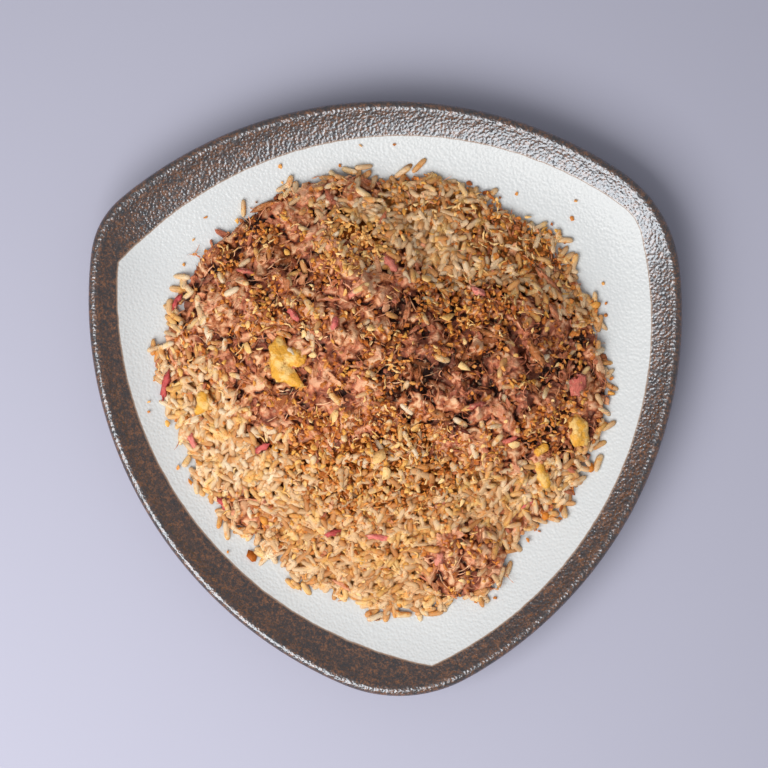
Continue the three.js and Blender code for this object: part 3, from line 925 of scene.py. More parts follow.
class Scatter:
    """Lays loose pieces on the ground and joins them into one mesh for each kind.

    Places are shaken by a share of their pitch. Off the food, a piece lies a little clear of the
    plate, in millimetres. Heights above the ceiling are flattened to a share of what they were.
    """

    JITTER = 0.6
    ON_FOOD = 0.6
    CLEAR_OF_PLATE = 0.7
    FLATTENING = 0.3

    def __init__(self, ground: Ground, seed: int) -> None:
        """Keeps the ground and starts the random draw."""
        self.ground = ground
        self.random = np.random.default_rng(seed)

    def sow(self, pitch: float, density: Field) -> tuple[np.ndarray, np.ndarray]:
        """Spreads places over the food.

        Args:
            pitch: The distance between neighbouring places, in millimetres.
            density: A function of x and y that gives the share of the places that are kept.

        Returns:
            The places along X and Y, in metres.
        """
        half = self.ground.HALF
        line = np.arange(-half, half, pitch * MM)
        x, y = (axis.ravel() for axis in np.meshgrid(line, line, indexing="ij"))
        x = x + self.random.uniform(-self.JITTER, self.JITTER, x.shape) * pitch * MM
        y = y + self.random.uniform(-self.JITTER, self.JITTER, y.shape) * pitch * MM
        chance = density(x, y) * self.ground.share(x, y)
        kept = self.random.random(x.shape) < chance
        return x[kept], y[kept]

    def lay(
        self, x: np.ndarray, y: np.ndarray, rise: tuple, tilt: float, roll: float, size: tuple,
        yaw: np.ndarray | None = None,
    ) -> Lay:
        """Turns and sizes pieces at given places.

        Args:
            x: Places along X, in metres.
            y: Places along Y, in metres.
            rise: Lowest and highest distance above the ground, in millimetres.
            tilt: Spread of the tilt against the ground, in radians.
            roll: Spread of the roll about the piece's own length, in radians.
            size: Smallest and largest size, as a factor.
            yaw: The bearing of each piece, or None for any.

        Returns:
            How the pieces lie.
        """
        count = len(x)
        bearing = self.random.uniform(0, 2 * math.pi, count) if yaw is None else yaw
        up = self.ground.normals(x, y)
        along = np.stack([np.cos(bearing), np.sin(bearing), np.zeros(count)], axis=1)
        along -= up * np.sum(along * up, axis=1, keepdims=True)
        along /= np.linalg.norm(along, axis=1, keepdims=True)
        across = np.cross(up, along)
        pitch = self.random.normal(0, tilt, (count, 1))
        along, up = along * np.cos(pitch) + up * np.sin(pitch), up * np.cos(pitch) - along * np.sin(pitch)
        spin = self.random.normal(0, roll, (count, 1))
        across, up = across * np.cos(spin) + up * np.sin(spin), up * np.cos(spin) - across * np.sin(spin)
        drawn = self.random.uniform(*rise, count)
        on_food = self.ground.read(self.ground.cover, x, y) > self.ON_FOOD
        drawn = np.where(on_food, drawn, np.abs(drawn) + self.CLEAR_OF_PLATE)
        height = self.ground.read(self.ground.top, x, y) + drawn * MM
        height = np.minimum(height, CEILING * MM + (height - CEILING * MM) * self.FLATTENING)
        scale = self.random.uniform(*size, (count, 3))
        return Lay(
            place=np.stack([x, y, height], axis=1),
            turn=np.stack([along, across, up], axis=2),
            size=scale,
            tone=self.random.random(count),
        )

    def strew(self, kind: Kind, density: Field, bearings: Callable | None = None) -> Lay:
        """Strews one kind of piece over the food.

        Args:
            kind: How the pieces lie.
            density: A function of x and y that gives the share of the places that are kept.
            bearings: A function of x, y and the kind's spread that gives bearings, or None for any.

        Returns:
            How the pieces lie.
        """
        x, y = self.sow(kind.pitch, density)
        yaw = None if bearings is None else bearings(x, y, kind.spread)
        lay = self.lay(x, y, kind.rise, kind.tilt, kind.roll, kind.size, yaw)
        lay.tone = kind.tones[0] + (kind.tones[1] - kind.tones[0]) * lay.tone
        return lay

    def set_out(self, rows: tuple, rise: tuple, tilt: float, scale: tuple, tones: tuple) -> Lay:
        """Lays pieces at listed places.

        Args:
            rows: Each one's x, y, length and width in millimetres and its bearing in degrees.
            rise: Lowest and highest distance above the ground, in millimetres.
            tilt: Spread of the tilt against the ground, in radians.
            scale: Factors on length and width, and the size across them.
            tones: Darkest and lightest tone.

        Returns:
            How the pieces lie.
        """
        x, y, length, width, turn = np.array(rows).T
        lay = self.lay(x * MM, y * MM, rise, tilt, 0.2, (1, 1), np.radians(turn))
        lay.size = np.stack([length, width, np.ones(len(x))], axis=1) * scale
        lay.tone = tones[0] + (tones[1] - tones[0]) * lay.tone
        return lay

    def join(self, name: str, shapes: list[Shape], lay: Lay, smooth: bool = True) -> bpy.types.Object:
        """Makes one mesh of all the pieces.

        Args:
            name: The object's name.
            shapes: Variants of the piece, drawn at random.
            lay: How the pieces lie.
            smooth: Whether the faces are shaded smooth.

        Returns:
            The object.
        """
        choice = self.random.integers(len(shapes), size=len(lay))
        points, faces, tones, kinds, locals_ = [], [], [], [], []
        start = 0
        for k, shape in enumerate(shapes):
            mine = np.flatnonzero(choice == k)
            if not len(mine):
                continue
            sized = shape.points[None] * lay.size[mine][:, None, :]
            turned = np.einsum("nij,npj->npi", lay.turn[mine], sized) * MM + lay.place[mine][:, None, :]
            offsets = start + len(shape.points) * np.arange(len(mine))
            points.append(turned.reshape(-1, 3))
            faces.append((shape.faces[None] + offsets[:, None, None]).reshape(-1, 3))
            tones.append(np.repeat(lay.tone[mine], len(shape.points)))
            kinds.append(np.repeat(self.random.random(len(mine)), len(shape.points)))
            shift = self.random.uniform(-400, 400, (len(mine), 1, 3))
            locals_.append((sized + shift).reshape(-1, 3))
            start += len(mine) * len(shape.points)
        mesh = mesh_of_arrays(name, np.concatenate(points), np.concatenate(faces), smooth)
        note(mesh, "tone", np.concatenate(tones))
        note(mesh, "kind", np.concatenate(kinds))
        note(mesh, "local", np.concatenate(locals_))
        return show(name, mesh)


def mesh_of_arrays(name: str, points: np.ndarray, faces: np.ndarray, smooth: bool) -> bpy.types.Mesh:
    """Makes a mesh of triangles.

    Args:
        name: The mesh's name.
        points: Its points, in metres.
        faces: Three point numbers for each triangle.
        smooth: Whether the faces are shaded smooth.

    Returns:
        The mesh.
    """
    mesh = bpy.data.meshes.new(name)
    mesh.vertices.add(len(points))
    mesh.vertices.foreach_set("co", points.astype(np.float32).ravel())
    mesh.loops.add(faces.size)
    mesh.loops.foreach_set("vertex_index", faces.astype(np.int32).ravel())
    mesh.polygons.add(len(faces))
    mesh.polygons.foreach_set("loop_start", np.arange(0, faces.size, 3, dtype=np.int32))
    mesh.polygons.foreach_set("use_smooth", np.full(len(faces), smooth))
    mesh.update(calc_edges=True)
    mesh.validate()
    return mesh


def note(mesh: bpy.types.Mesh, name: str, values: np.ndarray) -> None:
    """Keeps a number or a vector for each point of a mesh.

    Args:
        mesh: The mesh.
        name: The attribute's name.
        values: One row for each point.
    """
    vector = values.ndim == 2
    layer = mesh.attributes.new(name, "FLOAT_VECTOR" if vector else "FLOAT", "POINT")
    layer.data.foreach_set("vector" if vector else "value", values.astype(np.float32).ravel())


def strip(
    random: np.random.Generator, length: float, width: float, thickness: float, rings: int,
    sides: int, bend: float = 0.9,
) -> Shape:
    """Shapes one torn strip: ragged, tapered and bent.

    Args:
        random: Where its raggedness is drawn from.
        length: Its length, in millimetres.
        width: Its width, in millimetres.
        thickness: Its thickness, in millimetres.
        rings: How many cuts it has along its length.
        sides: How many sides its section has.
        bend: How far it may bend aside, in millimetres.

    Returns:
        The strip.
    """
    mesh = bmesh.new()
    lying = Matrix.Rotation(math.pi / 2, 4, "Y")
    bmesh.ops.create_cone(
        mesh, cap_ends=True, cap_tris=True, segments=sides, radius1=1, radius2=1, depth=2, matrix=lying
    )
    long_edges = [edge for edge in mesh.edges if abs(edge.verts[0].co.x - edge.verts[1].co.x) > 1]
    bmesh.ops.subdivide_edges(mesh, edges=long_edges, cuts=rings)
    aside, lift = random.uniform(-bend, bend), random.uniform(-0.7, 0.7) * bend
    for vertex in mesh.verts:
        x, y, z = vertex.co
        taper = math.sqrt(max(0.08, 1 - abs(x) ** 2.4))
        y *= taper * random.uniform(0.45, 1.45) * width / 2
        z *= taper * random.uniform(0.5, 1.4) * thickness / 2
        along = x * length / 2 + random.normal(0, 0.08) * length
        vertex.co = (along, y + aside * x * x, z + lift * x * x)
    return Shape.of(mesh)


def show(name: str, mesh: bpy.types.Mesh) -> bpy.types.Object:
    """Puts a mesh into the scene, at the origin.

    Args:
        name: The object's name.
        mesh: Its mesh.

    Returns:
        The object.
    """
    piece = bpy.data.objects.new(name, mesh)
    bpy.context.scene.collection.objects.link(piece)
    return piece


def settle(name: str, mesh: bmesh.types.BMesh) -> bpy.types.Object:
    """Shades a modelled mesh smooth, puts it into the scene and frees it.

    Args:
        name: The object's name.
        mesh: The mesh, in place.

    Returns:
        The object.
    """
    for face in mesh.faces:
        face.smooth = True
    data = bpy.data.meshes.new(name)
    mesh.to_mesh(data)
    mesh.free()
    return show(name, data)


def dress(piece: bpy.types.Object, material: bpy.types.Material, slot: str, *nodes: str) -> None:
    """Gives a piece its material and its place in the frame.

    Args:
        piece: The object.
        material: Its material.
        slot: The record's slot for it.
        nodes: The CAD nodes that it stands for.
    """
    piece.data.materials.clear()
    piece.data.materials.append(material)
    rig.ride(piece, "root")
    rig.slot(piece, slot)
    if nodes:
        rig.replaces(piece, *nodes)
    LOG.info("%s: %d faces", piece.name, len(piece.data.polygons))


@dataclass(frozen=True)
class Corner:
    """A rounded corner of the plate: its middle and its radius, in millimetres."""

    x: float
    y: float
    radius: float


@dataclass
class StonewarePlate:
    """The plate: three rounded corners joined by long arcs, a dished well and a rounded lip."""

    corners: tuple = (Corner(80, 57, 65), Corner(-104, 67, 40), Corner(7, -77, 69))
    side_radius: float = 205.0
    steps: int = 180
    lip_height: float = 27.0
    lip_radius: float = 3.1
    foot_share: float = 0.56
    foot_width_share: float = 0.045
    recess: float = 1.6
    underside: tuple = ((0.575, 3.6), (0.66, 5.2), (0.8, 9.4), (0.91, 15.4))
    well: tuple = (
        (0.95, 24.7), (0.93, 22.9), (0.895, 20.3), (0.86, 18.1), (0.82, 16.1), (0.78, 14.6),
        (0.72, 12.9), (0.66, 11.7), (0.59, 10.75), (0.52, 10.15), (0.44, 9.75), (0.36, 9.5),
        (0.2, 9.4),
    )
    glaze_radius: float = 186.5
    glaze_corners: tuple = ((123.7, 89.4), (-131.4, 66.9), (22.9, -131.6))

    def _side_centre(self, a: Corner, b: Corner) -> Vector:
        """Finds the middle of the long arc that touches two corners.

        Args:
            a: The first corner.
            b: The next corner, anticlockwise.

        Returns:
            The arc's middle.
        """
        reach_a, reach_b = self.side_radius - a.radius, self.side_radius - b.radius
        gap = math.hypot(b.x - a.x, b.y - a.y)
        along = (gap ** 2 + reach_a ** 2 - reach_b ** 2) / (2 * gap)
        across = math.sqrt(reach_a ** 2 - along ** 2)
        step = Vector((b.x - a.x, b.y - a.y)) / gap
        return Vector((a.x, a.y)) + step * along + Vector((-step.y, step.x)) * across

    def _outline(self) -> np.ndarray:
        """Walks round the outline in even steps.

        Returns:
            Its points in millimetres, centred on the origin.
        """
        arcs = []
        for i, corner in enumerate(self.corners):
            after = self.corners[(i + 1) % 3]
            into = self._side_centre(self.corners[i - 1], corner)
            out = self._side_centre(corner, after)
            at = Vector((corner.x, corner.y))
            start, end = (math.atan2(*(at - side).yx) for side in (into, out))
            arcs.append((at, corner.radius, start, end))
            last = math.atan2(*(Vector((after.x, after.y)) - out).yx)
            arcs.append((out, self.side_radius, end, last))
        dense = []
        for middle, radius, start, end in arcs:
            turns = start + np.linspace(0, (end - start) % (2 * math.pi), 400, endpoint=False)
            circle = np.stack([np.cos(turns), np.sin(turns)], axis=1)
            dense.append(np.array(middle[:]) + radius * circle)
        path = np.concatenate(dense)
        closed = np.concatenate([path, path[:1]])
        run = np.concatenate([[0], np.cumsum(np.linalg.norm(np.diff(closed, axis=0), axis=1))])
        even = np.linspace(0, run[-1], self.steps, endpoint=False)
        points = np.stack([np.interp(even, run, closed[:, axis]) for axis in (0, 1)], axis=1)
        return points - (points.max(axis=0) + points.min(axis=0)) / 2

    def _stations(self, reach: float) -> list[tuple[float, float]]:
        """Lists the section, from the underside's middle round the lip to the well's middle.

        Args:
            reach: The outline's mean reach, in millimetres.

        Returns:
            Each station's share of the outline and its height.
        """
        inner = self.foot_share - self.foot_width_share
        lip_share = self.lip_radius / reach
        lip = []
        for turn in np.radians(np.linspace(-55, 125, 9)):
            share = 1 + lip_share * (math.cos(turn) - 1)
            lip.append((share, self.lip_height + self.lip_radius * (math.sin(turn) - 1)))
        foot = [
            (inner - 0.2, self.recess), (inner - 0.016, self.recess), (inner - 0.008, 0.9),
            (inner, 0.25), (inner + 0.006, 0.0), (self.foot_share - 0.006, 0.0),
            (self.foot_share, 0.25), (self.foot_share + 0.006, 1.6),
        ]
        return [*foot, *self.underside, *lip, *self.well]

    def _glaze_arcs(self, places: np.ndarray) -> np.ndarray:
        """Measures how far the plate's points lie outside the three arcs of the white glaze.

        Args:
            places: The plate's vertices, in metres.

        Returns:
            Three distances in millimetres for each point; the underside counts as outside.
        """
        points = places[:, :2] / MM
        distances = []
        for i, corner in enumerate(self.glaze_corners):
            start, end = np.array(corner), np.array(self.glaze_corners[(i + 1) % 3])
            half = np.linalg.norm(end - start) / 2
            step = (end - start) / (2 * half)
            depth = math.sqrt(self.glaze_radius ** 2 - half ** 2)
            middle = (start + end) / 2 + np.array([-step[1], step[0]]) * depth
            distances.append(np.linalg.norm(points - middle, axis=1) - self.glaze_radius)
        arcs = np.stack(distances, axis=1)
        under = (places[:, 2] < 9 * MM) | ((places[:, 2] < 22 * MM) & (arcs.max(axis=1) > 5))
        arcs[under] = np.maximum(arcs[under], 9.0)
        return arcs

    def build(self) -> bpy.types.Object:
        """Bridges a ring of the outline at each station and finishes the plate.

        Returns:
            The plate's object.
        """
        outline = self._outline()
        middle = outline.mean(axis=0)
        spokes = outline - middle
        stations = self._stations(float(np.linalg.norm(spokes, axis=1).mean()))
        mesh = bmesh.new()
        loops = []
        for share, z in stations:
            ring = bmesh.ops.create_circle(mesh, segments=self.steps, radius=1)["verts"]
            for vertex, spoke in zip(ring, spokes):
                flat = middle + spoke * share
                vertex.co = Vector((flat[0], flat[1], z)) * MM
            edges = {edge for vertex in ring for edge in vertex.link_edges}
            loops.append(sorted(edges, key=lambda edge: edge.index))
        for lower, upper in zip(loops, loops[1:]):
            bmesh.ops.bridge_loops(mesh, edges=lower + upper)
        for ring, z in ((loops[0], self.recess), (loops[-1], self.well[-1][1])):
            cap = bmesh.ops.contextual_create(mesh, geom=ring)["faces"]
            pole = bmesh.ops.poke(mesh, faces=cap)["verts"][0]
            pole.co = Vector((middle[0], middle[1], z)) * MM
        bmesh.ops.remove_doubles(mesh, verts=mesh.verts[:], dist=1e-6)
        bmesh.ops.recalc_face_normals(mesh, faces=mesh.faces[:])
        piece = settle("stoneware_plate", mesh)
        places = np.array([vertex.co[:] for vertex in piece.data.vertices])
        note(piece.data, "glaze_arcs", self._glaze_arcs(places))
        note(piece.data, "height", places[:, 2])
        rounding = piece.modifiers.new("rounding", "SUBSURF")
        rounding.levels = 1
        rounding.render_levels = 1
        return piece

    def dress(self, piece: bpy.types.Object) -> None:
        """Glazes the plate and lets it stand for its solid."""
        dress(piece, StonewareGlaze().material(), "plate_glaze", "plate")


@dataclass
class FoodCore:
    """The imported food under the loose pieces: the food's solids, drawn in a little."""

    shrink: float = 0.965
    sink: float = 1.2
    meat_sink: float = 2.6
    roughness: float = 0.7
    middle: tuple = (0.0, 4.0)
    upward: float = 0.1
    meat_nodes: tuple = ("shredded_meat", "meat_clump_near")

    def build(self, nodes: dict, layer: "MeatLayer") -> bpy.types.Object:
        """Copies the solids, merges them and roughens their surface.

        Args:
            nodes: The CAD nodes by name.
            layer: The layer of meat, under which the core lies deeper.

        Returns:
            The core's object.
        """
        mesh = bmesh.new()
        meat_layer = mesh.verts.layers.float.new("meat")
        garlic_layer = mesh.verts.layers.float.new("garlic")
        for name in Ground.FOOD:
            part = bmesh.new()
            part.from_mesh(nodes[name].data)
            bmesh.ops.remove_doubles(part, verts=part.verts[:], dist=2e-6)
            part.verts.index_update()
            copies = [mesh.verts.new(vertex.co) for vertex in part.verts]
            for vertex in copies:
                vertex[meat_layer] = float(name in self.meat_nodes)
            for face in part.faces:
                mesh.faces.new([copies[vertex.index] for vertex in face.verts])
            part.free()
        middle = Vector((self.middle[0], self.middle[1], 0)) * MM
        bmesh.ops.translate(mesh, verts=mesh.verts[:], vec=-middle)
        bmesh.ops.scale(mesh, verts=mesh.verts[:], vec=(self.shrink, self.shrink, 1))
        bmesh.ops.translate(mesh, verts=mesh.verts[:], vec=middle - Vector((0, 0, self.sink * MM)))
        upper = [face for face in mesh.faces if face.normal.z > self.upward]
        edges = {edge for face in upper for edge in face.edges}
        bmesh.ops.subdivide_edges(mesh, edges=list(edges), cuts=1, use_grid_fill=True)
        bmesh.ops.triangulate(mesh, faces=mesh.faces[:])
        random = np.random.default_rng(SEED + 5)
        for vertex in mesh.verts:
            if vertex.normal.z > self.upward:
                vertex.co.z += random.uniform(-1, 0.6) * self.roughness * MM
        x, y = np.array([vertex.co.xy[:] for vertex in mesh.verts]).T
        for vertex, share, meat in zip(mesh.verts, most(GARLIC_REGIONS, x, y), layer.presence(x, y)):
            vertex[garlic_layer] = share
            if vertex.normal.z > self.upward:
                vertex.co.z -= meat * self.meat_sink * MM
        bmesh.ops.recalc_face_normals(mesh, faces=mesh.faces[:])
        return settle("food_core", mesh)

    def dress(self, piece: bpy.types.Object) -> None:
        """Colours the core and lets it stand for the food's solids."""
        dress(piece, CoreFinish().material(), "rice", *Ground.FOOD)


class RiceTone(Enum):
    """The two kinds of grain: pale ones and ones that the pan has toasted."""

    PALE = stops((0.0, 186, 136, 88), (0.3, 212, 175, 132), (0.65, 225, 201, 167), (1.0, 236, 220, 196))
    TOASTED = stops((0.0, 178, 112, 60), (0.4, 202, 146, 92), (0.75, 220, 180, 132), (1.0, 230, 202, 160))


@dataclass
class Rice:
    """Loose grains of fried rice over the heap."""

    scatter: Scatter
    length: float = 8.0
    width: float = 3.05
    variants: int = 6
    pitch: float = 2.6
    under_meat: float = 0.03
    under_garlic: float = 0.45
    bluntness: float = 4.5
    flatness: float = 0.88
    shares: tuple = ((RiceTone.PALE, 0.68), (RiceTone.TOASTED, 0.32))
    opening: Region = Region(-12, 80, 24, 18)
    # Grains darken in two patches: upper right, partly painted shade on the heap's side away from the lamp and partly
    # toasting; at the bottom, browner rice.
    brown: tuple = (Region(52, 74, 62, 46, -30, 0.4), Region(10, -66, 66, 36, 0, 1.0))

    def _shapes(self) -> list[Shape]:
        """Shapes the variants of a cooked grain: blunt at the ends and slightly bent.

        Returns:
            The variants.
        """
        random = self.scatter.random
        shapes = []
        for _ in range(self.variants):
            mesh = bmesh.new()
            upright = Matrix.Rotation(math.pi / 2, 4, "Y")
            bmesh.ops.create_uvsphere(mesh, u_segments=7, v_segments=7, radius=1, matrix=upright)
            length = self.length * random.uniform(0.85, 1.15)
            width = self.width * random.uniform(0.88, 1.12)
            bend = random.uniform(-0.5, 0.5)
            lean = random.uniform(-0.12, 0.12)
            for vertex in mesh.verts:
                x, y, z = vertex.co
                ring = math.hypot(y, z)
                if ring > 0.05:
                    fuller = math.sqrt(max(0.0, 1 - abs(x) ** self.bluntness)) / ring * (1 + lean * x)
                    y, z = y * fuller, z * fuller
                vertex.co = (x * length / 2, y * width / 2 + bend * x * x, z * width / 2 * self.flatness)
            shapes.append(Shape.of(mesh))
        return shapes

    def _density(self, x: np.ndarray, y: np.ndarray) -> np.ndarray:
        """Tells where rice lies: everywhere but under the meat.

        Args:
            x: Places along X, in metres.
            y: Places along Y, in metres.

        Returns:
            Shares from 0 to 1.
        """
        meat = most(MEAT_REGIONS, x, y) * (1 - 0.35 * self.opening.share(x, y))
        garlic = most(GARLIC_REGIONS, x, y)
        return (1 - (1 - self.under_meat) * meat) * (1 - (1 - self.under_garlic) * garlic)

    def build(self) -> None:
        """Lays both kinds of grain and dresses them."""
        shapes = self._shapes()
        for tone, share in self.shares:
            name = "rice_" + tone.name.lower()
            pitch = self.pitch / math.sqrt(share)
            kind = Kind(name, pitch, (-1.2, 0.9), (0.88, 1.14), (0.0, 1.0), tilt=0.24)
            lay = self.scatter.strew(kind, self._density)
            # Painted shade with toasting darkens grains on the upper right; the bottom patch browns them.
            lay.tone *= 1 - 0.9 * most(self.brown, *lay.spots)
            piece = self.scatter.join(name, shapes, lay)
            dress(piece, GrainFinish(name + "_grain", tone.value).material(), "rice")


class MeatTone(Enum):
    """The kinds of meat: pinkish tan flakes, browned ones and glossy pink shreds."""

    PINK = stops(
        (0.0, 36, 8, 2), (0.25, 102, 36, 12), (0.5, 178, 102, 61), (0.75, 218, 150, 106),
        (1.0, 242, 194, 150),
    )
    BROWNED = stops((0.0, 62, 20, 6), (0.3, 132, 64, 27), (0.6, 184, 112, 62), (1.0, 224, 164, 106))
    SHRED = stops((0.0, 144, 48, 48), (0.35, 200, 82, 80), (0.7, 228, 124, 114), (1.0, 242, 172, 150))


@dataclass
class Domes:
    """Leaning oval domes on a jittered grid, of which the highest one shows at each place.

    Pitch, height and lift, the spread of their tops, are in millimetres; lean is a slope, and slim
    says how much longer than round they are.
    """

    bearings: Ripple
    seed: int
    pitch: float
    height: float
    lift: float
    lean: float
    slim: float

    def __post_init__(self) -> None:
        """Draws each dome's place, top, lean and kind."""
        random = np.random.default_rng(self.seed)
        self.count = int(320 / self.pitch) + 6
        square = (self.count, self.count)
        self.shift = random.uniform(-0.5, 0.5, (2, *square))
        self.top = random.uniform(-1, 1, square) * self.lift
        self.slope = random.normal(0, self.lean, (2, *square))
        self.spread = random.normal(0, 0.5, square)
        self.kind = random.random(square)

    def read(self, x: np.ndarray, y: np.ndarray) -> tuple[np.ndarray, np.ndarray]:
        """Reads the domes.

        Args:
            x: Places along X, in millimetres.
            y: Places along Y, in millimetres.

        Returns:
            The highest dome's height in millimetres, and its kind.
        """
        u, v = x / self.pitch + self.count / 2, y / self.pitch + self.count / 2
        best, kind = np.full(x.shape, -1e9), np.zeros(x.shape)
        for a in range(-2, 3):
            for b in range(-2, 3):
                i, j = np.floor(u).astype(int) + a, np.floor(v).astype(int) + b
                across = (u - i - 0.5 - self.shift[0][i, j]) * self.pitch
                along = (v - j - 0.5 - self.shift[1][i, j]) * self.pitch
                middle_x, middle_y = x - across, y - along
                leaning = self.slope[0][i, j] * across + self.slope[1][i, j] * along
                turn = self.bearings.at(middle_x * MM, middle_y * MM) * 3.1 + self.spread[i, j]
                long = (across * np.cos(turn) + along * np.sin(turn)) / (self.pitch * 0.5 * self.slim)
                wide = (along * np.cos(turn) - across * np.sin(turn)) / (self.pitch * 0.5 / self.slim)
                rise = self.top[i, j] + leaning - self.height * (long ** 2 + wide ** 2)
                higher = rise > best
                best, kind = np.where(higher, rise, best), np.where(higher, self.kind[i, j], kind)
        return best, kind


@dataclass
class MeatLayer:
    """The layer of torn meat: clumps of packed fibres that lean over each other.

    Its relief lies between lowest and highest, in millimetres over the solids, and is stronger by
    the share crag over the right of the heap. At its frayed edge the layer dives under the ground.
    Hollow and low weigh painted shade where it lies deeper than its surroundings and where it lies
    deep, and low also paints light where it stands high; darker paints shade over the right of the heap.
    """

    ground: Ground
    step: float = 0.49
    edge: float = 0.35
    gain: float = 0.72
    lift: float = 1.7
    lowest: float = -3.4
    highest: float = 3.2
    crag: float = 0.35
    dive: float = 4.0
    # The next two weigh painted shade in hollows and on low ground, and painted light on high ground.
    hollow_shade: float = 0.42
    low: float = 0.11
    paler: float = 0.18
    # Weight of the painted shade over the right of the heap.
    region_shade: float = 0.26

    def __post_init__(self) -> None:
        """Draws the clumps, the shreds in them and the noises that fray their outlines."""
        bearings = Ripple(SEED + 21, 12 * MM)
        self.clumps = Domes(bearings, SEED + 22, pitch=14.0, height=2.6, lift=2.6, lean=0.18, slim=1.25)
        self.shreds = Domes(bearings, SEED + 23, pitch=5.6, height=1.0, lift=1.0, lean=0.18, slim=1.4)
        self.threads = Domes(bearings, SEED + 24, pitch=2.1, height=0.3, lift=0.4, lean=0.1, slim=1.5)
        self.frays = [Ripple(SEED + 25 + i, size * MM) for i, size in enumerate((5, 5, 1.7, 1.7, 1.1))]

    def presence(self, x: np.ndarray, y: np.ndarray) -> np.ndarray:
        """Tells where the layer lies: in the meat's regions, with a frayed edge.

        Args:
            x: Places along X, in metres.
            y: Places along Y, in metres.

        Returns:
            From 0 where there is none to 1.
        """
        share = most(MEAT_REGIONS, x, y) * (1 - 0.35 * most(GARLIC_REGIONS, x, y))
        ragged = share + self.frays[0].at(x, y) * 0.22 + self.frays[2].at(x, y) * 0.1
        covered = self.ground.read(self.ground.cover, x, y) > 0.5
        return np.clip((ragged - self.edge) / 0.2, 0, 1) * covered

    def surface(self, x: np.ndarray, y: np.ndarray) -> tuple[np.ndarray, np.ndarray, np.ndarray]:
        """Reads the layer.

        Args:
            x: Places along X, in metres.
            y: Places along Y, in metres.

        Returns:
            Its height in metres, its relief in millimetres and its kind of meat.
        """
        fray = [ripple.at(x, y) for ripple in self.frays]
        u = x / MM + fray[0] * 1.6 + fray[2] * 0.7
        v = y / MM + fray[1] * 1.6 + fray[3] * 0.7
        clump, clump_kind = self.clumps.read(u, v)
        shred, shred_kind = self.shreds.read(u, v)
        thread, _ = self.threads.read(u, v)
        relief = (clump + shred + thread + fray[4] * 0.2) * self.gain + self.lift
        relief = np.clip(relief, self.lowest, self.highest)
        relief = relief * (1 + self.crag * MEAT_SHADE_REGION.share(x, y))
        relief = np.clip(relief, self.lowest, self.highest)
        there = self.presence(x, y)
        height = self.ground.read(self.ground.bare, x, y) + (relief * there - self.dive * (1 - there)) * MM
        ceiling = (CEILING + 1) * MM
        height = np.minimum(height, ceiling + (height - ceiling) * 0.4)
        return height, relief, clump_kind * 0.55 + shred_kind * 0.45

    def build(self) -> bpy.types.Object:
        """Cuts a fine grid to the layer's outline and raises it to the layer's surface.

        Returns:
            The layer's object.
        """
        count = int(round(2 * self.ground.HALF / (self.step * MM)))
        mesh = bmesh.new()
        bmesh.ops.create_grid(mesh, x_segments=count, y_segments=count, size=self.ground.HALF)
        flat = np.array([vertex.co.xy[:] for vertex in mesh.verts])
        height, relief, kind = self.surface(*flat.T)
        shown = height > self.ground.read(self.ground.bare, *flat.T) - 0.9 * self.dive * MM
        cells = np.rint((flat + self.ground.HALF) / (self.step * MM)).astype(int)
        grid = np.zeros((count + 1, count + 1))
        grid[cells[:, 0], cells[:, 1]] = relief
        soft = box_blur(grid, 6)
        # Painted shade in hollows and on low ground, painted light on high ground, painted shade over the right of the
        # heap.
        tone = 0.5 + (relief - soft[cells[:, 0], cells[:, 1]]) * self.hollow_shade + relief * self.low
        tone += self.paler * PALE_MEAT.share(*flat.T) - self.region_shade * MEAT_SHADE_REGION.share(*flat.T)
        notes = {name: mesh.verts.layers.float.new(name) for name in ("tone", "kind")}
        for i, vertex in enumerate(mesh.verts):
            vertex.co.z = height[i]
            vertex[notes["tone"]] = tone[i]
            vertex[notes["kind"]] = kind[i]
        hidden = [vertex for vertex, kept in zip(mesh.verts, shown) if not kept]
        bmesh.ops.delete(mesh, geom=hidden, context="VERTS")
        bmesh.ops.triangulate(mesh, faces=mesh.faces[:])
        piece = settle("meat_layer", mesh)
        note(piece.data, "local", np.array([vertex.co[:] for vertex in piece.data.vertices]) / MM)
        return piece

    def dress(self, piece: bpy.types.Object) -> None:
        """Colours the layer."""
        dress(piece, MeatFinish("meat_layer_pink", MeatTone.PINK.value).material(), "meat")


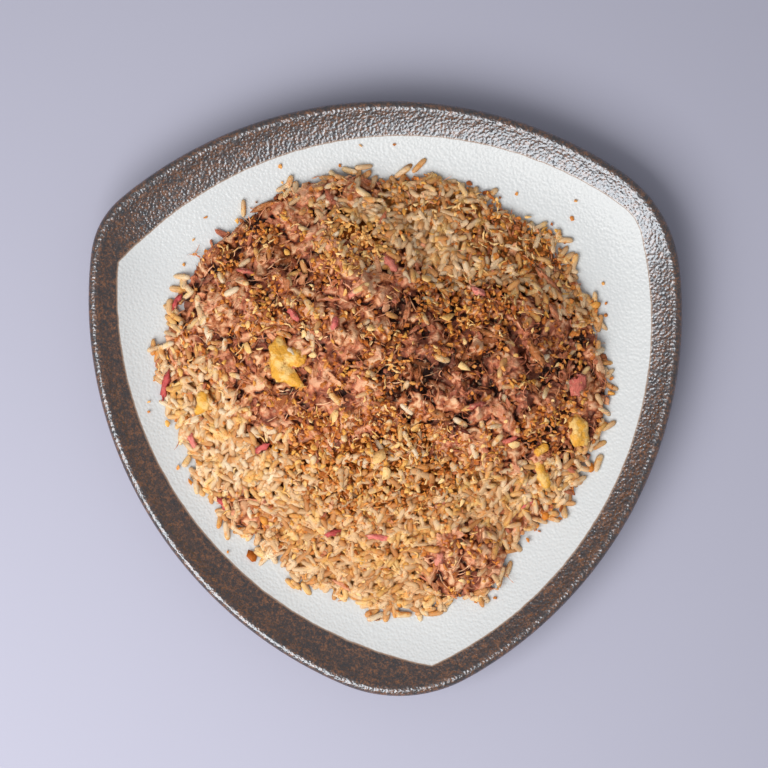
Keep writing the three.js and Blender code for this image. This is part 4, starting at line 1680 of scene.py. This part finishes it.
@dataclass
class TornMeat:
    """Lumps, crumbs, flakes and fibres of torn meat, whose bearings follow each other in clumps."""

    scatter: Scatter
    nub_length: float = 5.6
    crumb_size: float = 2.6
    flake_length: float = 8.0
    flake_width: float = 3.0
    fibre_length: float = 7.5
    clump: float = 13.0
    nubs: Kind = Kind("meat_nubs", 11.0, (-0.6, 1.2), (0.5, 1.2), (0.3, 0.85))
    crumbs: Kind = Kind("meat_crumbs", 6.5, (-0.3, 1.2), (0.4, 1.2), (0.2, 0.95), tilt=0.8, spread=2.0)
    flakes: Kind = Kind("meat_flakes", 13.0, (-0.4, 1.4), (0.5, 1.3), (0.3, 0.9))
    fibres: Kind = Kind("meat_fibres", 5.0, (0.2, 1.8), (0.5, 1.3), (0.55, 1.0))
    slabs: tuple = (
        (81, 56, 19, 3.6, -48), (84, 39, 15, 4, -52), (50, 31, 16, 2.6, -18), (-60, 95, 13, 3, 15),
        (72, 22, 12, 4, -60), (26, -8, 11, 4, -40), (-95, 45, 10, 3, 60), (10, 40, 12, 3, 70),
    )
    shreds: tuple = (
        (2.2, 65.6, 9, 4.2, -60), (44.7, 52, 7, 3.2, -40), (-108.6, 6.6, 12, 3.6, 75),
        (-95.4, -20.3, 8, 3.2, -70), (-79.8, -52, 7, 3.4, -50), (-25, -65.6, 8, 3, 10),
        (-3, -67.6, 11, 3, -8), (94, 6.6, 10, 8, 60), (43, -3, 8, 2.8, 20),
        (-103, 48, 7, 3, 60), (-16, 50, 6, 3, 30), (-60, -24, 8, 3.4, 30),
        (-44, 40, 7, 3, -50), (60, -20, 7, 3, 15), (26, -78, 6, 4, 60),
        (-68, 62, 8, 3.4, -30), (70, -52, 6, 2.2, 30), (-24, 36, 6, 3.2, 80),
    )

    def __post_init__(self) -> None:
        """Draws the fields that the clumps' bearings and heights follow."""
        self.field = Ripple(SEED + 11, self.clump * MM)
        self.crags = Ripple(SEED + 12, 8 * MM)

    def _seed(self) -> Vector:
        """Draws an offset for a noise."""
        return Vector(self.scatter.random.uniform(-50, 50, 3))

    def _lump(self, length: float, detail: int, lobes: int) -> Shape:
        """Shapes one lump that still holds together: blended lobes, roughened along its fibres.

        Args:
            length: Its length, in millimetres.
            detail: How finely it is divided.
            lobes: How many lobes it has.

        Returns:
            The lump.
        """
        random = self.scatter.random
        half = length / 2
        middles = random.uniform(-1, 1, (lobes, 3)) * (half * 0.62, half * 0.34, half * 0.16)
        radii = random.uniform(0.3, 0.5, lobes) * half
        mesh = blob(np.column_stack([middles, radii]), detail)
        roughen(mesh, Vector((1.6, 0.9, 0.9)) * (length / 8), 0.6, self._seed())
        bmesh.ops.scale(mesh, verts=mesh.verts[:], vec=(1, 1, 0.8))
        return Shape.of(mesh)

    def _crumb(self) -> Shape:
        """Shapes one crumb of meat.

        Returns:
            The crumb.
        """
        random = self.scatter.random
        mesh = bmesh.new()
        bmesh.ops.create_icosphere(mesh, subdivisions=1, radius=self.crumb_size / 2)
        for vertex in mesh.verts:
            vertex.co *= random.uniform(0.55, 1.35)
        bmesh.ops.scale(mesh, verts=mesh.verts[:], vec=(random.uniform(0.9, 1.6), 1, 0.75))
        return Shape.of(mesh)

    def _density(self, x: np.ndarray, y: np.ndarray) -> np.ndarray:
        """Tells where meat lies: in its regions, thinner under the garlic, with a few stray bits.

        Args:
            x: Places along X, in metres.
            y: Places along Y, in metres.

        Returns:
            Shares from 0 to 1.
        """
        meat = most(MEAT_REGIONS, x, y)
        garlic = most(GARLIC_REGIONS, x, y)
        crevice = np.clip((self.crags.at(x, y) + 0.7) * 3, 0.1, 1)
        return np.clip(meat * (1 - 0.5 * garlic) * crevice + 0.2, 0, 1)

    def _bearings(self, x: np.ndarray, y: np.ndarray, spread: float) -> np.ndarray:
        """Gives each piece the bearing of its clump, with some spread."""
        return self.field.at(x, y) * 2 * math.pi + self.scatter.random.normal(0, spread, x.shape)

    def _strew(self, kind: Kind, shapes: list[Shape], finish: bpy.types.Material) -> None:
        """Strews one kind of piece over the meat and dresses it.

        Args:
            kind: How it lies.
            shapes: Its variants.
            finish: Its material.
        """
        lay = self.scatter.strew(kind, self._density, self._bearings)
        # Pale meat is lighter; over the right of the heap the pieces get painted shade.
        lay.tone += 0.15 * PALE_MEAT.share(*lay.spots) - 0.24 * MEAT_SHADE_REGION.share(*lay.spots)
        dress(self.scatter.join(kind.name, shapes, lay, False), finish, "meat")

    def _slabs(self, finish: bpy.types.Material) -> None:
        """Lays the longest strips, which keep the grain of the meat.

        Args:
            finish: Their material.
        """
        shapes = [strip(self.scatter.random, 1.0, 1.0, 1.0, 9, 10, 0.08) for _ in range(4)]
        lay = self.scatter.set_out(self.slabs, (0.6, 1.2), 0.1, (1.1, 1.1, 2.4), (0.5, 0.7))
        dress(self.scatter.join("meat_slabs", shapes, lay), finish, "meat")

    def _pink_shreds(self, finish: bpy.types.Material) -> None:
        """Lays the glossy pink shreds that stand out on the heap.

        Args:
            finish: Their material.
        """
        shapes = [strip(self.scatter.random, 1.0, 1.0, 1.0, 5, 10, 0.1) for _ in range(4)]
        lay = self.scatter.set_out(self.shreds, (1.4, 2.4), 0.15, (1.1, 1.05, 2.2), (0.3, 0.9))
        dress(self.scatter.join("pink_shreds", shapes, lay), finish, "meat")

    def build(self) -> None:
        """Lays every kind of piece."""
        random = self.scatter.random
        pink = MeatFinish("meat_pink", MeatTone.PINK.value).material()
        browned = MeatFinish("meat_browned", MeatTone.BROWNED.value).material()
        nubs = [self._lump(self.nub_length, 2, 4) for _ in range(12)]
        crumbs = [self._crumb() for _ in range(10)]
        flakes = [strip(random, self.flake_length, self.flake_width, 1.3, 4, 8) for _ in range(16)]
        fibres = [strip(random, self.fibre_length, 0.6, 0.45, 4, 3, 2.0) for _ in range(14)]
        self._strew(self.nubs, nubs, pink)
        self._strew(self.crumbs, crumbs, browned)
        self._strew(self.flakes, flakes, pink)
        self._strew(self.fibres, fibres, pink)
        self._slabs(browned)
        self._pink_shreds(MeatFinish("meat_shred", MeatTone.SHRED.value, browning=0.0).material())


class GarlicTone(Enum):
    """The kinds of fried garlic: golden crumbs, paler flakes and orange lumps."""

    CRUMB = stops((0.0, 92, 40, 12), (0.3, 166, 86, 34), (0.65, 216, 134, 60), (1.0, 244, 186, 108))
    FLAKE = stops((0.0, 196, 122, 46), (0.45, 234, 174, 84), (1.0, 250, 212, 150))
    ORANGE = stops((0.0, 176, 92, 26), (0.5, 218, 132, 44), (1.0, 238, 172, 84))


@dataclass
class FriedGarlic:
    """Crumbs and flakes of fried garlic, strewn over the rice, the meat and the plate."""

    scatter: Scatter
    crumb_size: float = 2.1
    flake_size: float = 3.8
    sliver: tuple = (5.0, 1.1, 0.6, 4, 4, 1.8)
    sprinkling: float = 0.07
    on_meat: float = 0.6
    variants: int = 12
    crumbs: Kind = Kind("garlic_crumbs", 1.95, (-0.2, 1.8), (0.5, 1.35), (0.3, 0.85), 0.6, 1.2)
    flakes: Kind = Kind("garlic_flakes", 3.9, (0.6, 2.0), (0.4, 1.3), (0.0, 1.0), 0.4, 0.4)
    slivers: Kind = Kind("garlic_slivers", 8.5, (1.0, 2.2), (0.6, 1.3), (0.6, 1.0), 0.3, 0.5)
    orange_lumps: tuple = (
        (111.5, 2.7), (101.7, -34.4), (7, -101.7), (79.3, -57.8), (-96.4, -41.2), (-65.6, -77.8),
        (104, 46), (20, -34), (-60, -60),
    )
    fairer: Region = Region(-16, 77, 24, 20)
    # Crumbs are darker on the upper right, partly painted shade on the heap's side away from the lamp and partly
    # browner garlic.
    browner_and_shaded: Region = Region(66, 80, 40, 26, -40)
    large_flakes: tuple = (
        (-2.5, -27, 10, 6, 60), (0.5, -36, 9, 5, 85), (29, 39, 8, 4, 20), (37, 15.5, 6.5, 4.5, -30),
        (-34, 21, 4, 3, 0), (-39, 31, 4, 3, 60), (-7, 33.5, 4.5, 3.5, 20), (-24, -8, 8, 3.5, 70),
        (14, -14, 7, 4, 30), (62, -22, 6, 4, -20), (-66, 24, 7, 3, -60), (20, 58, 6, 4, 0),
    )
    loose_crumbs: tuple = (
        (-12.1, 124.5), (-22.4, 115.1), (-52, 114.6), (-51, 106.7), (-89, 89.5), (-94.9, 78.6),
        (-89, 72.7), (-99.8, 66.3), (-114.1, 21.9), (-114.1, 9.1), (4.2, 125), (64.8, 101.3),
        (92.4, 89), (93.9, 97.4), (107.7, 56.9), (109.2, 47.1), (109.2, 41.2), (101.8, 33.8),
        (-116.6, -1.7), (-116.6, -6.7), (-102.3, -34.3), (-77.6, -75.7), (-0.2, -106.2),
        (39.2, -98.8), (44.6, -100.8), (48.6, -90), (86, -59.4), (89, -49.1),
    )

    def __post_init__(self) -> None:
        """Draws the patches in which crumbs gather on the meat."""
        self.patches = Ripple(SEED + 31, 8 * MM)

    def _crumb(self) -> Shape:
        """Shapes one angular crumb.

        Returns:
            The crumb.
        """
        random = self.scatter.random
        mesh = bmesh.new()
        bmesh.ops.create_icosphere(mesh, subdivisions=1, radius=self.crumb_size / 2)
        for vertex in mesh.verts:
            vertex.co *= random.uniform(0.35, 1.55)
        bmesh.ops.scale(mesh, verts=mesh.verts[:], vec=(*random.uniform(0.7, 1.6, 2), 0.6))
        return Shape.of(mesh)

    def _flake(self) -> Shape:
        """Shapes one thin curled flake.

        Returns:
            The flake.
        """
        random = self.scatter.random
        mesh = bmesh.new()
        bmesh.ops.create_cone(
            mesh, cap_ends=True, cap_tris=True, segments=8, radius1=1, radius2=1, depth=0.3
        )
        curl = random.uniform(0.1, 0.5)
        reach = {}
        for vertex in mesh.verts:
            x, y, z = vertex.co
            spoke = round(math.atan2(y, x), 2)
            reach.setdefault(spoke, random.uniform(0.6, 1.25))
            x, y = x * reach[spoke], y * reach[spoke] * 0.6
            vertex.co = Vector((x, y, z * 0.7 + curl * x * x - 0.2 * y)) * self.flake_size / 2
        return Shape.of(mesh)

    def _density(self, x: np.ndarray, y: np.ndarray) -> np.ndarray:
        """Tells where garlic lies: in its regions, with a light sprinkling elsewhere.

        Args:
            x: Places along X, in metres.
            y: Places along Y, in metres.

        Returns:
            Shares from 0 to 1.
        """
        patch = np.clip(self.patches.at(x, y) * 2 - 0.3, 0, 1)
        base = self.sprinkling + self.on_meat * patch * most(MEAT_REGIONS, x, y)
        return np.clip(most(GARLIC_REGIONS, x, y) * 0.8 + base, 0, 1)

    def _single(self, spots: tuple, rise: tuple, size: tuple) -> Lay:
        """Drops single crumbs at listed places, in millimetres."""
        x, y = np.array(spots).T * MM
        return self.scatter.lay(x, y, rise, 0.2, 0.4, size)

    def build(self) -> None:
        """Lays crumbs, flakes, the larger flakes and a few browned orange lumps."""
        scatter = self.scatter
        crumb = GarlicFinish("garlic_crumb", GarlicTone.CRUMB.value).material()
        crumbs = [self._crumb() for _ in range(self.variants)]
        lay = scatter.strew(self.crumbs, self._density)
        # Fairer crumbs at the top; darker ones on the upper right, partly painted shade and partly browner garlic.
        lay.tone += 0.25 * self.fairer.share(*lay.spots) - 0.15 * self.browner_and_shaded.share(*lay.spots)
        dress(scatter.join(self.crumbs.name, crumbs, lay, False), crumb, "rice")
        lay = self._single(self.loose_crumbs, (0.0, 0.1), (0.45, 1.05))
        lay.tone = 0.55 + 0.45 * lay.tone
        dress(scatter.join("loose_crumbs", crumbs, lay, False), crumb, "rice")
        lay = scatter.strew(self.flakes, self._density)
        flakes = [self._flake() for _ in range(self.variants)]
        flake = GarlicFinish("garlic_flake", GarlicTone.FLAKE.value).material()
        dress(scatter.join(self.flakes.name, flakes, lay), flake, "rice")
        scale = np.array([1, 1 / 0.6, 4.5]) / self.flake_size
        lay = scatter.set_out(self.large_flakes, (2.2, 2.8), 0.15, scale, (0.5, 1.0))
        dress(scatter.join("large_garlic_flakes", flakes, lay), flake, "rice")
        lay = scatter.strew(self.slivers, self._density)
        slivers = [strip(scatter.random, *self.sliver) for _ in range(self.variants)]
        dress(scatter.join(self.slivers.name, slivers, lay), flake, "rice")
        lay = self._single(self.orange_lumps, (0.8, 1.4), (1.6, 2.3))
        lumps = scatter.join("orange_crumbs", crumbs, lay)
        dress(lumps, GarlicFinish("orange_crumb", GarlicTone.ORANGE.value).material(), "rice")


@dataclass
class EggCurds:
    """Curds of fried egg: soft lobes blended into lumps that lie on the food."""

    scatter: Scatter
    nodes: tuple = ("egg_curd_large", "egg_curd_right", "egg_curd_near", "egg_curd_left")
    sink: float = 1.2
    curds: tuple = (
        (-47, 18, (
            (-4, 10.5, 0, 2.8), (-5, 6, 0.2, 3.8), (-4.5, 0.5, 0.3, 4.2), (-2.5, -5, 0, 4.4),
            (3, -8.5, 0, 3.4), (7, -9.5, -0.4, 2.2), (2, 3, 0.6, 3.6), (5.5, 0.8, 0.2, 3.4),
        )),
        (94, -15, ((-2, 4, 0, 3.6), (2, 1, 0, 3.8), (0, -4, 0, 3.8), (4, -6, 0, 2.6))),
        (77, -38, ((-2, 5, 0, 2.6), (0, 0, 0, 3), (2, -4, 0, 2.4))),
        (-90, -1, ((0, 2, 0, 2.8), (1, -2, 0, 3.2), (-2, -5, 0, 2))),
        (76, -25, ((-1.5, -1, 0, 2.2), (1.5, 1, 0, 2.2))),
    )

    def build(self) -> bpy.types.Object:
        """Blends each curd and lays it on the food.

        Returns:
            The curds' object.
        """
        ground = self.scatter.ground
        joined = bmesh.new()
        for x, y, lobes in self.curds:
            mesh = blob(np.array(lobes, dtype=float), 4)
            seed = Vector(self.scatter.random.uniform(-50, 50, 3))
            roughen(mesh, Vector((4.5, 4.5, 4.5)), 0.16, seed)
            roughen(mesh, Vector((1.3, 1.3, 1.3)), 0.05, seed)
            bmesh.ops.scale(mesh, verts=mesh.verts[:], vec=(1, 1, 0.72))
            here = np.array([x * MM]), np.array([y * MM])
            height = float(ground.read(ground.top, *here)[0])
            lean = Vector((0, 0, 1)).rotation_difference(Vector(ground.normals(*here)[0]))
            bmesh.ops.scale(mesh, verts=mesh.verts[:], vec=(MM, MM, MM))
            bmesh.ops.rotate(mesh, verts=mesh.verts[:], cent=(0, 0, 0), matrix=lean.to_matrix())
            bmesh.ops.translate(mesh, verts=mesh.verts[:], vec=(x * MM, y * MM, height + self.sink * MM))
            part = bpy.data.meshes.new("curd")
            mesh.to_mesh(part)
            mesh.free()
            joined.from_mesh(part)
            bpy.data.meshes.remove(part)
        bmesh.ops.recalc_face_normals(joined, faces=joined.faces[:])
        return settle("egg_curds", joined)

    def dress(self, piece: bpy.types.Object) -> None:
        """Colours the curds and lets them stand for their solids."""
        dress(piece, EggFinish().material(), "egg", *self.nodes)


@dataclass(frozen=True)
class Lamp:
    """An oblong lamp that points at the plate: metres, watts and a colour."""

    name: str
    place: tuple
    size: tuple
    power: float
    colour: tuple

    def hang(self) -> None:
        """Hangs the lamp."""
        data = bpy.data.lights.new(self.name, "AREA")
        data.shape = "RECTANGLE"
        data.size, data.size_y = self.size
        data.energy = self.power
        data.color = self.colour
        lamp = bpy.data.objects.new(self.name, data)
        lamp.location = self.place
        lamp.rotation_euler = (-Vector(self.place)).to_track_quat("-Z", "Y").to_euler()
        bpy.context.scene.collection.objects.link(lamp)


@dataclass
class Studio:
    """The pale table, soft light from one side and a camera straight above."""

    middle: tuple = (-0.0007, 0.0071)
    width: float = 0.3748
    rim_height: float = 0.027
    lens: float = 85.0
    sensor: float = 36.0
    table_size: float = 3.0
    window: Lamp = Lamp("window", (-0.40, -0.42, 0.76), (0.84, 0.68), 9.6, (1.0, 0.99, 0.98))
    ceiling: Lamp = Lamp("ceiling", (-0.6, -0.55, 1.4), (2.0, 1.5), 3.2, (1.0, 0.97, 0.93))
    room_colour: tuple = (0.93, 0.95, 1.0, 1.0)
    room_light: float = 0.34

    def build_floor(self) -> None:
        """Lays the table."""
        mesh = bmesh.new()
        bmesh.ops.create_grid(mesh, x_segments=1, y_segments=1, size=self.table_size)
        floor = settle("table", mesh)
        floor.data.materials.append(FloorFinish().material())
        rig.stage(floor)

    def build_light(self) -> None:
        """Hangs a large soft light on the near left and lets the room fill the shadows."""
        self.window.hang()
        self.ceiling.hang()
        world = bpy.data.worlds.new("room")
        world.use_nodes = True
        background = world.node_tree.nodes["Background"]
        background.inputs["Color"].default_value = self.room_colour
        background.inputs["Strength"].default_value = self.room_light
        bpy.context.scene.world = world

    def build_camera(self) -> None:
        """Sets the camera straight above, so that the rim's plane fills the photo's width."""
        data = bpy.data.cameras.new("camera")
        data.lens = self.lens
        data.sensor_width = self.sensor
        distance = self.width * self.lens / self.sensor
        camera = bpy.data.objects.new("camera", data)
        camera.location = (self.middle[0], self.middle[1], self.rim_height + distance)
        bpy.context.scene.collection.objects.link(camera)
        bpy.context.scene.camera = camera
        bpy.context.scene.view_settings.view_transform = "Standard"


def write_sizes() -> None:
    """Writes the box of the CAD model and that of the dressed one."""
    boxes = {"cad": CAD_BOX, "visual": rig.bounds()}
    plain = {name: [list(corner) for corner in box] for name, box in boxes.items()}
    with open("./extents.json", "w", encoding="utf-8") as out:
        json.dump(plain, out)


def main() -> None:
    """Builds the plate, the food and the studio around them."""
    logging.basicConfig(level=logging.INFO, format="%(name)s: %(message)s")
    nodes = frame["nodes"]
    studio = Studio()
    studio.build_floor()
    studio.build_light()
    studio.build_camera()
    plate = StonewarePlate()
    plate.dress(plate.build())
    ground = Ground(nodes)
    layer = MeatLayer(ground)
    layer.dress(layer.build())
    core = FoodCore()
    core.dress(core.build(nodes, layer))
    ground.raise_to(layer)
    eggs = EggCurds(Scatter(ground, SEED + 3))
    eggs.dress(eggs.build())
    Rice(Scatter(ground, SEED)).build()
    TornMeat(Scatter(ground, SEED + 1)).build()
    FriedGarlic(Scatter(ground, SEED + 2)).build()
    write_sizes()


if __name__ == "__main__":
    main()
